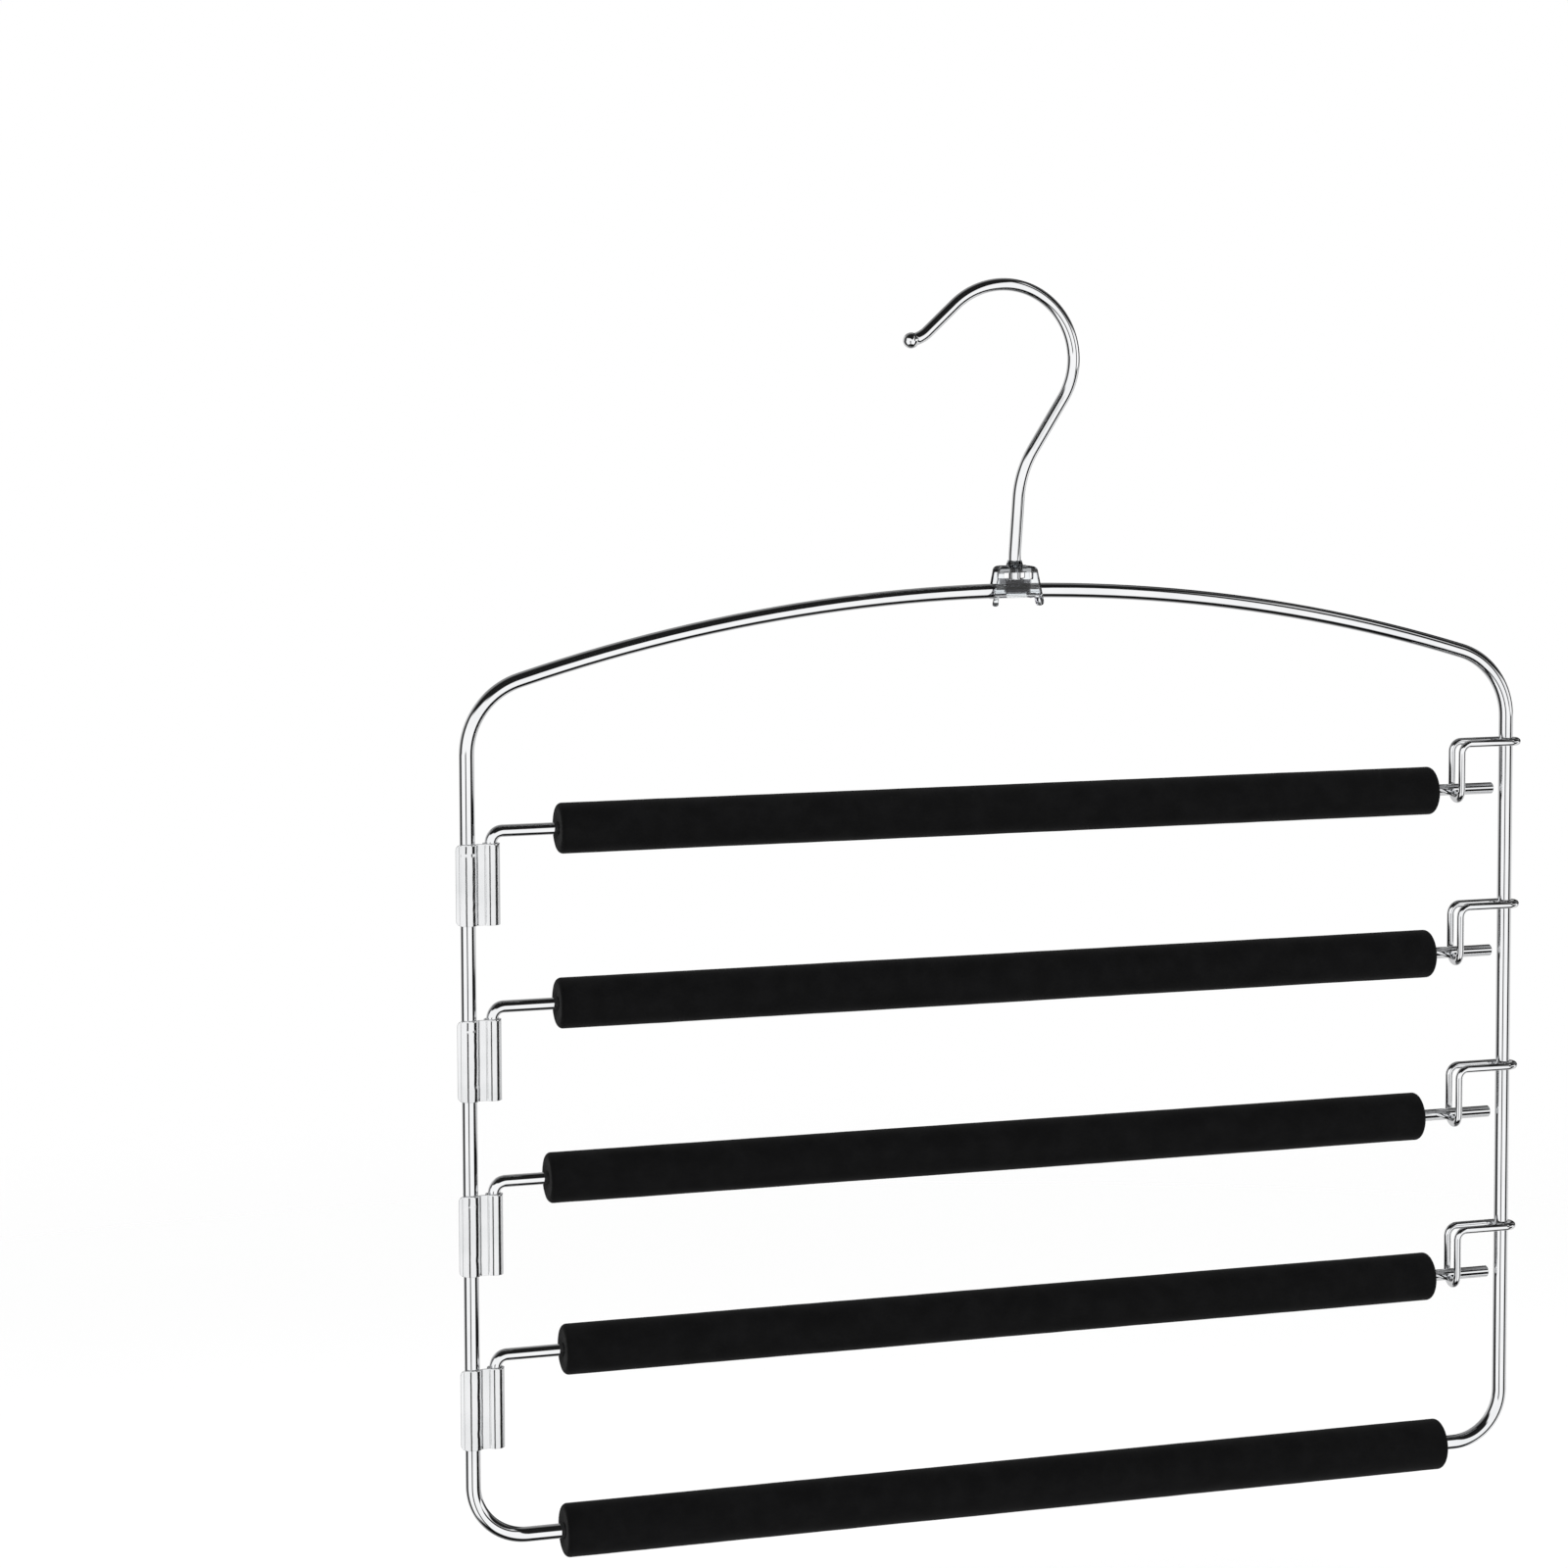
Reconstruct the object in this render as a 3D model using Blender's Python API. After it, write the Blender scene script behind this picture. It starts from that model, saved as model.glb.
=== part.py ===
"""Multi tier trouser hanger: a bent wire frame with four swing-out padded arms.

The frame is one loop of chromed wire whose bottom bar carries a foam sleeve.
Four thinner arms hang in rolled sheet hinges on the left side wire, and each
arm's tip drops into a bent wire catch on the right side wire. A wire hook
turns in a clear clip that snaps over the top of the frame.

Metres, +Z up, +X to the hanger's right, +Y to the back. The origin is where
the rail touches the inside of the hook's crown.
"""

import math

import bmesh
import bpy
from mathutils import Matrix, Quaternion, Vector

# Driving dimensions of the frame, measured between wire centres
FRAME_WIDTH = 0.375
FRAME_WIRE = 0.0050
ARCH_RADIUS = 0.5820
SHOULDER_RADIUS = 0.0250
LOWER_CORNER_RADIUS = 0.0180
# Straight side wire above the top arm, up to the shoulder's bend
SIDE_HEADROOM = 0.0254

# The tiers, counted from the top one down; the frame's height follows from them
TIER_COUNT = 4
TIER_PITCH = 0.0581
# Lowest arm above the bottom bar
LOWEST_TIER = 0.0613

# Foam sleeves; a margin runs from a side wire's centre to the sleeve's end
ARM_FOAM_MARGIN = 0.0295
ARM_FOAM_DIAMETER = 0.0170
BOTTOM_FOAM_MARGIN = 0.0270
BOTTOM_FOAM_DIAMETER = 0.0180
BOTTOM_FOAM_SLIP = 0.0034
FOAM_EDGE_RADIUS = 0.0012
# How far each sleeve has slid along its arm, the top tier first
FOAM_SLIPS = (0.0006, 0.0, -0.0038, 0.0010)

# Swinging arms
ARM_WIRE = 0.0040
ARM_BEND_RADIUS = 0.0038
ARM_TIP_CLEARANCE = 0.0028
ARM_TIP_CHAMFER = 0.0004

# Hinge leaf, stamped from sheet, pressed over the side wire and rolled round the arm's leg
HINGE_OFFSET = 0.0078
BRACKET_SHEET = 0.0006
BRACKET_HEIGHT = 0.0268
BRACKET_DROP = 0.0039
BRACKET_CORNER = 0.0018
# Flat rim of the leaf beyond its ridge
BRACKET_RIM = 0.0009
# How far the flat of the leaf lies in front of the wires' middles
BRACKET_FLAT_DEPTH = 0.0014
BRACKET_BEND_RADIUS = 0.0010
# Where the roll's free edge ends, turned from the front over the right
KNUCKLE_CLOSE = math.radians(244.0)

# Catch, one closed loop of thin wire
CATCH_WIRE = 0.0025
CATCH_REACH = 0.0190
CATCH_RISE = 0.0165
CATCH_BEND_RADIUS = 0.0034

# Hook
HOOK_WIRE = 0.0042
HOOK_LEAN = math.radians(4.0)
HOOK_LEAN_RADIUS = 0.0400
HOOK_STEM_RUN = 0.0182
HOOK_KNEE_RADIUS = 0.0360
HOOK_RAKE = math.radians(32.0)
HOOK_RAKE_RUN = 0.0200
HOOK_CROWN_RADIUS = 0.0253
HOOK_POINT_FALL = math.radians(43.0)
HOOK_POINT_RUN = 0.0135
HOOK_FLARE = math.radians(27.0)
HOOK_FLARE_RADIUS = 0.0100
HOOK_BALL = 0.0054
HOOK_HEAD_DIAMETER = 0.0056
HOOK_HEAD_THICKNESS = 0.0010
HOOK_HEAD_CLEARANCE = 0.0005

# Clear clip on top of the arch
CLIP_TOP_WIDTH = 0.0108
CLIP_FOOT_WIDTH = 0.0148
CLIP_WALL = 0.0013
CLIP_PLATE = 0.0022
CLIP_RISE = 0.0084
CLIP_NECK_HEIGHT = 0.0020
CLIP_NECK_DIAMETER = 0.0060
CLIP_NECK_ROOT_DIAMETER = 0.0074
CLIP_CORNER = 0.0013
CLIP_CLAW_LENGTH = 0.0027
CLIP_CLAW_WIDTH = 0.0017
CLIP_CLAW_TIP = 0.0007
# How far the clip has slid along the arch from its middle
CLIP_SLIP = 0.0021
CLIP_SNAP_ANGLE = math.radians(55.0)

# Space between pieces that touch
GAP = 0.0003
# How far a cutter runs past what it cuts
OVERRUN = 0.0010

# Facets
FRAME_SIDES = 16
ARM_SIDES = 14
HOOK_SIDES = 14
CATCH_SIDES = 10
FOAM_SIDES = 32
TURNED_SIDES = 28
BEND_STEP = math.radians(11.25)
ARCH_STEP = math.radians(1.8)
SMOOTH_ANGLE = math.radians(40.0)

# Worked out from the sizes above
FRAME_RADIUS = FRAME_WIRE / 2
ARM_RADIUS = ARM_WIRE / 2
CATCH_RADIUS = CATCH_WIRE / 2
HOOK_RADIUS = HOOK_WIRE / 2
HALF_WIDTH = FRAME_WIDTH / 2
TOP_TIER = LOWEST_TIER + (TIER_COUNT - 1) * TIER_PITCH
SHOULDER_HEIGHT = TOP_TIER + SIDE_HEADROOM
ARCH_REACH = ARCH_RADIUS - SHOULDER_RADIUS
HALF_ARCH = math.asin((HALF_WIDTH - SHOULDER_RADIUS) / ARCH_REACH)
FRAME_HEIGHT = SHOULDER_HEIGHT + ARCH_RADIUS - ARCH_REACH * math.cos(HALF_ARCH)
HINGE_X = HINGE_OFFSET - HALF_WIDTH
ARM_REACH = FRAME_WIDTH - HINGE_OFFSET - FRAME_RADIUS - ARM_TIP_CLEARANCE
ARM_FOAM_LENGTH = FRAME_WIDTH - 2 * ARM_FOAM_MARGIN
BOTTOM_FOAM_LENGTH = FRAME_WIDTH - 2 * BOTTOM_FOAM_MARGIN
CATCH_HALF_GAP = FRAME_RADIUS + GAP + CATCH_RADIUS
RIDGE_RADIUS = FRAME_RADIUS + GAP + BRACKET_SHEET / 2
KNUCKLE_RADIUS = ARM_RADIUS + GAP + BRACKET_SHEET / 2

X_AXIS = Vector((1, 0, 0))
Y_AXIS = Vector((0, 1, 0))
Z_AXIS = Vector((0, 0, 1))

CHROME = ((0.80, 0.80, 0.81), 0.07, 1.0)
FOAM = ((0.012, 0.012, 0.013), 0.85, 0.0)
CLEAR = ((0.86, 0.90, 0.92), 0.1, 0.0)


class BentWire:
    """Centre line of a wire, drawn as a wire bender makes it: runs and bends."""

    def __init__(self, start, heading):
        self.points = [Vector(start)]
        self.heading = Vector(heading).normalized()

    def run(self, length):
        """Go straight on for a length."""
        self.points.append(self.points[-1] + self.heading * length)
        return self

    def bend(self, radius, angle, axis, step=BEND_STEP):
        """Turn by an angle about an axis, along an arc of a centre line radius."""
        count = max(1, math.ceil(abs(angle) / step))
        arm = Vector(axis).cross(self.heading) * radius * math.copysign(1, angle)
        centre = self.points[-1] + arm
        spoke = self.points[-1] - centre
        for index in range(1, count + 1):
            turn = Quaternion(axis, angle * index / count)
            self.points.append(centre + turn @ spoke)
        self.heading = Quaternion(axis, angle) @ self.heading
        return self


def clear_scene():
    """Start from an empty scene."""
    for item in list(bpy.data.objects):
        bpy.data.objects.remove(item, do_unlink=True)


def make_material(name, look):
    """Principled material from a colour, a roughness and a metallic value."""
    colour, roughness, metallic = look
    material = bpy.data.materials.new(name)
    material.use_nodes = True
    shader = material.node_tree.nodes["Principled BSDF"]
    shader.inputs["Base Color"].default_value = (*colour, 1.0)
    shader.inputs["Roughness"].default_value = roughness
    shader.inputs["Metallic"].default_value = metallic
    return material


def make_object(name, bm, look=None, location=(0, 0, 0), parent=None):
    """Turn a bmesh into a shaded object placed under a parent."""
    bmesh.ops.recalc_face_normals(bm, faces=bm.faces)
    mesh = bpy.data.meshes.new(name)
    bm.to_mesh(mesh)
    bm.free()
    mesh.shade_smooth()
    mesh.set_sharp_from_angle(angle=SMOOTH_ANGLE)
    item = bpy.data.objects.new(name, mesh)
    bpy.context.scene.collection.objects.link(item)
    item.location = location
    item.parent = parent
    if look:
        mesh.materials.append(make_material(name + "_finish", look))
    return item


def make_empty(name, location=(0, 0, 0), parent=None):
    """Empty that carries the pieces of one moving body."""
    item = bpy.data.objects.new(name, None)
    bpy.context.scene.collection.objects.link(item)
    item.location = location
    item.parent = parent
    return item


def as_cutter(item):
    """Keep a tool body out of the finished part."""
    item.hide_render = True
    item.display_type = "WIRE"
    return item


def cut(target, tool, operation):
    """Boolean a tool body into a piece."""
    modifier = target.modifiers.new(tool.name, "BOOLEAN")
    modifier.object = as_cutter(tool)
    modifier.operation = operation
    modifier.solver = "EXACT"


def path_tangents(points, closed):
    """Direction of a path at each of its points."""
    count = len(points)
    tangents = []
    for index in range(count):
        before = points[index - 1] if closed or index else points[index]
        after = points[(index + 1) % count] if closed or index < count - 1 else points[index]
        tangents.append((after - before).normalized())
    return tangents


def carried_normals(tangents, closed):
    """Side direction that follows a path without twisting, and meets itself on a loop."""
    normal = tangents[0].orthogonal().normalized()
    normals = [normal]
    for before, after in zip(tangents, tangents[1:]):
        normal = before.rotation_difference(after) @ normal
        normals.append(normal)
    if closed:
        end = tangents[-1].rotation_difference(tangents[0]) @ normals[-1]
        twist = math.atan2(end.cross(normals[0]).dot(tangents[0]), end.dot(normals[0]))
        count = len(normals)
        for index in range(count):
            share = index / count
            normals[index] = Quaternion(tangents[index], twist * share) @ normals[index]
    return normals


def join_rings(bm, rings, closed):
    """Skin neighbouring rings of vertices, and cap the ends of an open row."""
    following = rings[1:] + rings[:1] if closed else rings[1:]
    for first, second in zip(rings, following):
        for index in range(len(first)):
            other = (index + 1) % len(first)
            bm.faces.new((first[index], first[other], second[other], second[index]))
    if not closed:
        bm.faces.new(reversed(rings[0]))
        bm.faces.new(rings[-1])


def sweep(points, radii, sides, closed=False):
    """Round bar along a path, with one radius at each point."""
    bm = bmesh.new()
    tangents = path_tangents(points, closed)
    normals = carried_normals(tangents, closed)
    rings = []
    for point, tangent, normal, radius in zip(points, tangents, normals, radii):
        across = tangent.cross(normal)
        ring = []
        for side in range(sides):
            angle = math.tau * side / sides
            offset = normal * math.cos(angle) + across * math.sin(angle)
            ring.append(bm.verts.new(point + offset * radius))
        rings.append(ring)
    join_rings(bm, rings, closed)
    return bm


def without_repeat(points):
    """Drop the last point of a loop, which lies on its first."""
    return points[:-1]


def turn_profile(profile, axis, sides, closed=True):
    """Revolve (along, radius) points about an axis into a ring or a solid."""
    bm = bmesh.new()
    normal = axis.orthogonal().normalized()
    across = axis.cross(normal)
    columns = []
    for side in range(sides):
        angle = math.tau * side / sides
        outward = normal * math.cos(angle) + across * math.sin(angle)
        columns.append([bm.verts.new(axis * along + outward * radius) for along, radius in profile])
    for side in range(sides):
        first = columns[side]
        second = columns[(side + 1) % sides]
        last = len(profile) if closed else len(profile) - 1
        for index in range(last):
            other = (index + 1) % len(profile)
            bm.faces.new((first[index], second[index], second[other], first[other]))
    if not closed:
        bm.faces.new([column[0] for column in columns])
        bm.faces.new([column[-1] for column in columns])
    return bm


def extrude_outline(outline, thickness, to_space):
    """Plate with a flat outline, centred on its middle plane."""
    bm = bmesh.new()
    front = [bm.verts.new(to_space(u, v, -thickness / 2)) for u, v in outline]
    back = [bm.verts.new(to_space(u, v, thickness / 2)) for u, v in outline]
    join_rings(bm, [front, back], closed=False)
    return bm


def rounded(points, radii, step=math.radians(22.5)):
    """Flat outline with an arc at each corner that has a radius."""
    outline = []
    count = len(points)
    for index, (point, radius) in enumerate(zip(points, radii)):
        corner = Vector(point)
        if not radius:
            outline.append(tuple(corner))
            continue
        before = (Vector(points[index - 1]) - corner).normalized()
        after = (Vector(points[(index + 1) % count]) - corner).normalized()
        half = math.acos(max(-1.0, min(1.0, before.dot(after)))) / 2
        reach = radius / math.tan(half)
        centre = corner + (before + after).normalized() * radius / math.sin(half)
        start = corner + before * reach - centre
        sweep_angle = math.pi - 2 * half
        side = math.copysign(1, before.x * after.y - before.y * after.x)
        steps = max(1, math.ceil(sweep_angle / step))
        for number in range(steps + 1):
            turn = Matrix.Rotation(-side * sweep_angle * number / steps, 2)
            outline.append(tuple(centre + turn @ start))
    return outline


def build_outer_frame(parent):
    """Frame: one closed loop of wire, from the middle of its bottom bar round."""
    side_run = SHOULDER_HEIGHT - LOWER_CORNER_RADIUS
    shoulder_turn = math.pi / 2 - HALF_ARCH
    half_bottom = HALF_WIDTH - LOWER_CORNER_RADIUS
    wire = BentWire((0, 0, 0), X_AXIS)
    wire.run(half_bottom)
    wire.bend(LOWER_CORNER_RADIUS, math.pi / 2, -Y_AXIS)
    wire.run(side_run)
    wire.bend(SHOULDER_RADIUS, shoulder_turn, -Y_AXIS)
    wire.bend(ARCH_RADIUS, 2 * HALF_ARCH, -Y_AXIS, ARCH_STEP)
    wire.bend(SHOULDER_RADIUS, shoulder_turn, -Y_AXIS)
    wire.run(side_run)
    wire.bend(LOWER_CORNER_RADIUS, math.pi / 2, -Y_AXIS)
    wire.run(half_bottom)
    points = without_repeat(wire.points)
    bm = sweep(points, [FRAME_RADIUS] * len(points), FRAME_SIDES, closed=True)
    return make_object("outer_frame", bm, CHROME, parent=parent)


def foam_sleeve(length, diameter, wire):
    """Foam tube along X from the origin, bored for its wire, its edges eased."""
    outer = diameter / 2
    bore = wire / 2 + GAP
    profile = [(0, bore), (length, bore)]
    for number in range(4):
        angle = math.pi / 2 * number / 3
        rise = FOAM_EDGE_RADIUS * (1 - math.sin(angle))
        inset = FOAM_EDGE_RADIUS * (1 - math.cos(angle))
        profile.append((length - inset, outer - rise))
    for number in range(4):
        angle = math.pi / 2 * (1 - number / 3)
        rise = FOAM_EDGE_RADIUS * (1 - math.sin(angle))
        inset = FOAM_EDGE_RADIUS * (1 - math.cos(angle))
        profile.append((inset, outer - rise))
    return turn_profile(profile, X_AXIS, FOAM_SIDES)


def build_bottom_foam(parent):
    """Fixed sleeve on the bottom bar."""
    bm = foam_sleeve(BOTTOM_FOAM_LENGTH, BOTTOM_FOAM_DIAMETER, FRAME_WIRE)
    start = BOTTOM_FOAM_SLIP - BOTTOM_FOAM_LENGTH / 2
    return make_object("bottom_foam", bm, FOAM, (start, 0, 0), parent)


def leaf_rise(radius):
    """Angle at which the flat of the leaf climbs onto a curve of a radius about a wire."""
    return math.acos((BRACKET_FLAT_DEPTH + BRACKET_BEND_RADIUS) / (radius + BRACKET_BEND_RADIUS))


def leaf_rise_run(radius):
    """Distance from a wire's middle to where the flat of the leaf begins."""
    return (radius + BRACKET_BEND_RADIUS) * math.sin(leaf_rise(radius))


def hinge_leaf_path():
    """Middle line of the hinge sheet seen from above, about the arm's leg."""
    ridge_rise = leaf_rise(RIDGE_RADIUS)
    knuckle_rise = leaf_rise(KNUCKLE_RADIUS)
    ridge_run = leaf_rise_run(RIDGE_RADIUS)
    flat_run = HINGE_OFFSET - ridge_run - leaf_rise_run(KNUCKLE_RADIUS)
    left = -HINGE_OFFSET - ridge_run - BRACKET_RIM
    wire = BentWire((left, -BRACKET_FLAT_DEPTH, 0), X_AXIS)
    rim_steps = 4
    for number in range(rim_steps):
        wire.run(BRACKET_RIM / rim_steps)
    wire.bend(BRACKET_BEND_RADIUS, ridge_rise, -Z_AXIS)
    wire.bend(RIDGE_RADIUS, 2 * ridge_rise, Z_AXIS)
    wire.bend(BRACKET_BEND_RADIUS, ridge_rise, -Z_AXIS)
    wire.run(flat_run)
    wire.bend(BRACKET_BEND_RADIUS, knuckle_rise, -Z_AXIS)
    wire.bend(KNUCKLE_RADIUS, knuckle_rise + KNUCKLE_CLOSE, Z_AXIS)
    return wire.points


def hinge_leaf_drops(points):
    """How far the sheet's top and bottom edges draw in at each point of its path."""
    travelled = 0.0
    lengths = [travelled]
    for before, after in zip(points, points[1:]):
        travelled += (after - before).length
        lengths.append(travelled)
    drops = []
    for length in lengths:
        rest = max(0.0, BRACKET_CORNER - length)
        drops.append(BRACKET_CORNER - math.sqrt(BRACKET_CORNER ** 2 - rest ** 2))
    drops[-1] = BRACKET_SHEET
    return drops


def build_hinge_bracket(name, height, parent):
    """Hinge leaf: sheet pressed over the frame wire, its edge rolled round the arm's leg."""
    points = hinge_leaf_path()
    drops = hinge_leaf_drops(points)
    tangents = path_tangents(points, closed=False)
    bm = bmesh.new()
    rings = []
    for point, tangent, drop in zip(points, tangents, drops):
        across = tangent.cross(Z_AXIS) * BRACKET_SHEET / 2
        top = Z_AXIS * (-BRACKET_DROP - drop)
        bottom = Z_AXIS * (drop - BRACKET_DROP - BRACKET_HEIGHT)
        corners = (point + across + top, point - across + top,
                   point - across + bottom, point + across + bottom)
        rings.append([bm.verts.new(corner) for corner in corners])
    join_rings(bm, rings, closed=False)
    return make_object(name, bm, CHROME, (HINGE_X, 0, height), parent)


def build_swing_arm(name, parent):
    """Arm: straight wire, bent down at the hinge, cut square at the tip."""
    leg_foot = -BRACKET_DROP - BRACKET_HEIGHT + BRACKET_CORNER
    leg_run = -leg_foot - ARM_BEND_RADIUS
    wire = BentWire((0, 0, leg_foot), Z_AXIS)
    wire.run(ARM_TIP_CHAMFER)
    wire.run(leg_run - ARM_TIP_CHAMFER)
    wire.bend(ARM_BEND_RADIUS, math.pi / 2, Y_AXIS)
    wire.run(ARM_REACH - ARM_BEND_RADIUS - ARM_TIP_CHAMFER)
    wire.run(ARM_TIP_CHAMFER)
    radii = [ARM_RADIUS] * len(wire.points)
    radii[0] = ARM_RADIUS - ARM_TIP_CHAMFER
    radii[-1] = ARM_RADIUS - ARM_TIP_CHAMFER
    bm = sweep(wire.points, radii, ARM_SIDES)
    return make_object(name, bm, CHROME, parent=parent)


def build_arm_foam(name, slip, parent):
    """Sleeve of one arm, slid a little along its wire."""
    bm = foam_sleeve(ARM_FOAM_LENGTH, ARM_FOAM_DIAMETER, ARM_WIRE)
    start = ARM_FOAM_MARGIN - HINGE_OFFSET + slip
    return make_object(name, bm, FOAM, (start, 0, 0), parent)


def build_arm_catch(name, height, parent):
    """Catch: a loop that hugs the side wire, turns down and cradles the arm's tip."""
    leg_run = CATCH_REACH - CATCH_BEND_RADIUS
    cradle = ARM_RADIUS + GAP + CATCH_RADIUS
    drop_run = CATCH_RISE - CATCH_BEND_RADIUS + cradle - CATCH_HALF_GAP
    wire = BentWire((0, -CATCH_HALF_GAP, CATCH_RISE), -X_AXIS)
    wire.run(leg_run)
    wire.bend(CATCH_BEND_RADIUS, math.pi / 2, -Y_AXIS)
    wire.run(drop_run)
    wire.bend(CATCH_HALF_GAP, math.pi, X_AXIS)
    wire.run(drop_run)
    wire.bend(CATCH_BEND_RADIUS, math.pi / 2, Y_AXIS)
    wire.run(leg_run)
    wire.bend(CATCH_HALF_GAP, math.pi, -Z_AXIS)
    points = without_repeat(wire.points)
    bm = sweep(points, [CATCH_RADIUS] * len(points), CATCH_SIDES, closed=True)
    return make_object(name, bm, CHROME, (HALF_WIDTH, 0, height), parent)


def clip_neck_top():
    """Top of the clip's neck above the arch wire's centre."""
    return CLIP_RISE + CLIP_NECK_HEIGHT


def hook_head_foot():
    """Underside of the hook's head above the arch wire's centre."""
    return FRAME_RADIUS + HOOK_HEAD_CLEARANCE


def hook_stem():
    """Hook wire above the arch wire's centre: head, stem and knee, up to its crown."""
    foot = hook_head_foot()
    wire = BentWire((0, 0, foot), Z_AXIS)
    wire.run(HOOK_HEAD_THICKNESS)
    wire.run(0)
    wire.run(clip_neck_top() - foot - HOOK_HEAD_THICKNESS)
    wire.bend(HOOK_LEAN_RADIUS, HOOK_LEAN, Y_AXIS)
    wire.run(HOOK_STEM_RUN)
    wire.bend(HOOK_KNEE_RADIUS, HOOK_RAKE - HOOK_LEAN, Y_AXIS, BEND_STEP / 2)
    wire.run(HOOK_RAKE_RUN)
    return wire


def clip_place():
    """Centre of the arch wire under the clip, from the middle of the bottom bar."""
    drop = ARCH_RADIUS - math.sqrt(ARCH_RADIUS ** 2 - CLIP_SLIP ** 2)
    return Vector((CLIP_SLIP, 0, FRAME_HEIGHT - drop))


def rail_seat():
    """Top of the crown's inside, measured from the arch wire's centre under the stem."""
    wire = hook_stem()
    centre = wire.points[-1] - Y_AXIS.cross(wire.heading) * HOOK_CROWN_RADIUS
    return centre + Z_AXIS * (HOOK_CROWN_RADIUS - HOOK_RADIUS)


def build_hook(parent):
    """Hook: headed stem in the clip, knee, crown over the rail, and a ball end."""
    wire = hook_stem()
    crown_turn = HOOK_RAKE + math.pi / 2 + HOOK_POINT_FALL
    wire.bend(HOOK_CROWN_RADIUS, crown_turn, -Y_AXIS, BEND_STEP / 2)
    wire.run(HOOK_POINT_RUN)
    wire.bend(HOOK_FLARE_RADIUS, HOOK_FLARE, Y_AXIS)
    radii = [HOOK_RADIUS] * len(wire.points)
    radii[0] = HOOK_HEAD_DIAMETER / 2
    radii[1] = HOOK_HEAD_DIAMETER / 2
    ball_points, ball_radii = hook_ball(wire)
    points = wire.points + ball_points
    bm = sweep(points, radii + ball_radii, HOOK_SIDES)
    return make_object("hook", bm, CHROME, parent=parent)


def hook_ball(wire):
    """Points and radii of the ball formed on the hook's end."""
    ball = HOOK_BALL / 2
    enter = math.asin(HOOK_RADIUS / ball)
    centre = wire.points[-1] + wire.heading * ball * math.cos(enter)
    steps = 7
    last_share = 0.93
    points = []
    radii = []
    for number in range(1, steps + 1):
        angle = enter + (math.pi - enter) * last_share * number / steps
        points.append(centre - wire.heading * ball * math.cos(angle))
        radii.append(ball * math.sin(angle))
    return points, radii


def clip_half_section(foot):
    """Half of the clip's cross-section: plate, and a wall that snaps on and ends at a foot."""
    inner = FRAME_RADIUS + GAP
    outer = inner + CLIP_WALL
    ceiling = CLIP_RISE - CLIP_PLATE
    steps = 4
    half = [(inner, ceiling)]
    for number in range(steps + 1):
        angle = -CLIP_SNAP_ANGLE * number / steps
        half.append((inner * math.cos(angle), inner * math.sin(angle)))
    half.append((outer - 2 * CLIP_CLAW_TIP, foot))
    half.append((outer - CLIP_CLAW_TIP, foot))
    half.append((outer, foot + 2 * CLIP_CLAW_TIP))
    for number in range(steps + 1):
        angle = math.pi / 2 * number / steps
        across = outer - CLIP_CORNER * (1 - math.cos(angle))
        up = CLIP_RISE - CLIP_CORNER * (1 - math.sin(angle))
        half.append((across, up))
    return half


def clip_wall_foot():
    """Where the snap's inner lip ends, below the arch wire's centre."""
    return -(FRAME_RADIUS + GAP) * math.sin(CLIP_SNAP_ANGLE)


def clip_claw_foot():
    """Lower end of the front claws."""
    return -FRAME_RADIUS - CLIP_CLAW_LENGTH


def clip_section():
    """Cross-section of the clip about the arch wire: a plain wall behind, a clawed one in front."""
    behind = clip_half_section(clip_wall_foot() - CLIP_CLAW_TIP)
    front = clip_half_section(clip_claw_foot())
    return behind + [(-y, z) for y, z in reversed(front)]


def clip_face():
    """Front outline of the clip: flared sides, rounded top corners, a claw at each foot."""
    wall_foot = clip_wall_foot()
    foot = clip_claw_foot()
    top = CLIP_TOP_WIDTH / 2
    bottom = CLIP_FOOT_WIDTH / 2
    points = [(-top, CLIP_RISE), (-bottom, foot), (CLIP_CLAW_WIDTH - bottom, foot),
              (CLIP_CLAW_WIDTH - bottom, wall_foot), (bottom - CLIP_CLAW_WIDTH, wall_foot),
              (bottom - CLIP_CLAW_WIDTH, foot), (bottom, foot), (top, CLIP_RISE)]
    radii = [CLIP_CORNER, CLIP_CLAW_TIP, CLIP_CLAW_TIP, 0, 0, CLIP_CLAW_TIP, CLIP_CLAW_TIP, CLIP_CORNER]
    return rounded(points, radii)


def build_top_clip(parent):
    """Clear clip that snaps over the arch and holds the hook's stem."""
    section = extrude_outline(clip_section(), CLIP_FOOT_WIDTH + OVERRUN,
                              lambda u, v, w: Vector((w, u, v)))
    clip = make_object("top_clip", section, CLEAR, parent=parent)
    depth = 2 * (FRAME_RADIUS + GAP + CLIP_WALL) + OVERRUN
    face = extrude_outline(clip_face(), depth, lambda u, v, w: Vector((u, w, v)))
    cut(clip, make_object("clip_face_tool", face, parent=parent), "INTERSECT")
    boss_foot = hook_head_foot() + HOOK_HEAD_THICKNESS + GAP
    root = CLIP_NECK_ROOT_DIAMETER / 2
    neck = CLIP_NECK_DIAMETER / 2
    profile = [(boss_foot, root), (CLIP_RISE, root), (clip_neck_top(), neck)]
    boss = turn_profile(profile, Z_AXIS, TURNED_SIDES, closed=False)
    cut(clip, make_object("clip_boss_tool", boss, parent=parent), "UNION")
    bore = HOOK_RADIUS + GAP
    hole = [(boss_foot - OVERRUN, bore), (clip_neck_top() + OVERRUN, bore)]
    bore_tool = turn_profile(hole, Z_AXIS, TURNED_SIDES, closed=False)
    cut(clip, make_object("clip_bore_tool", bore_tool, parent=parent), "DIFFERENCE")
    return clip


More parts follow.
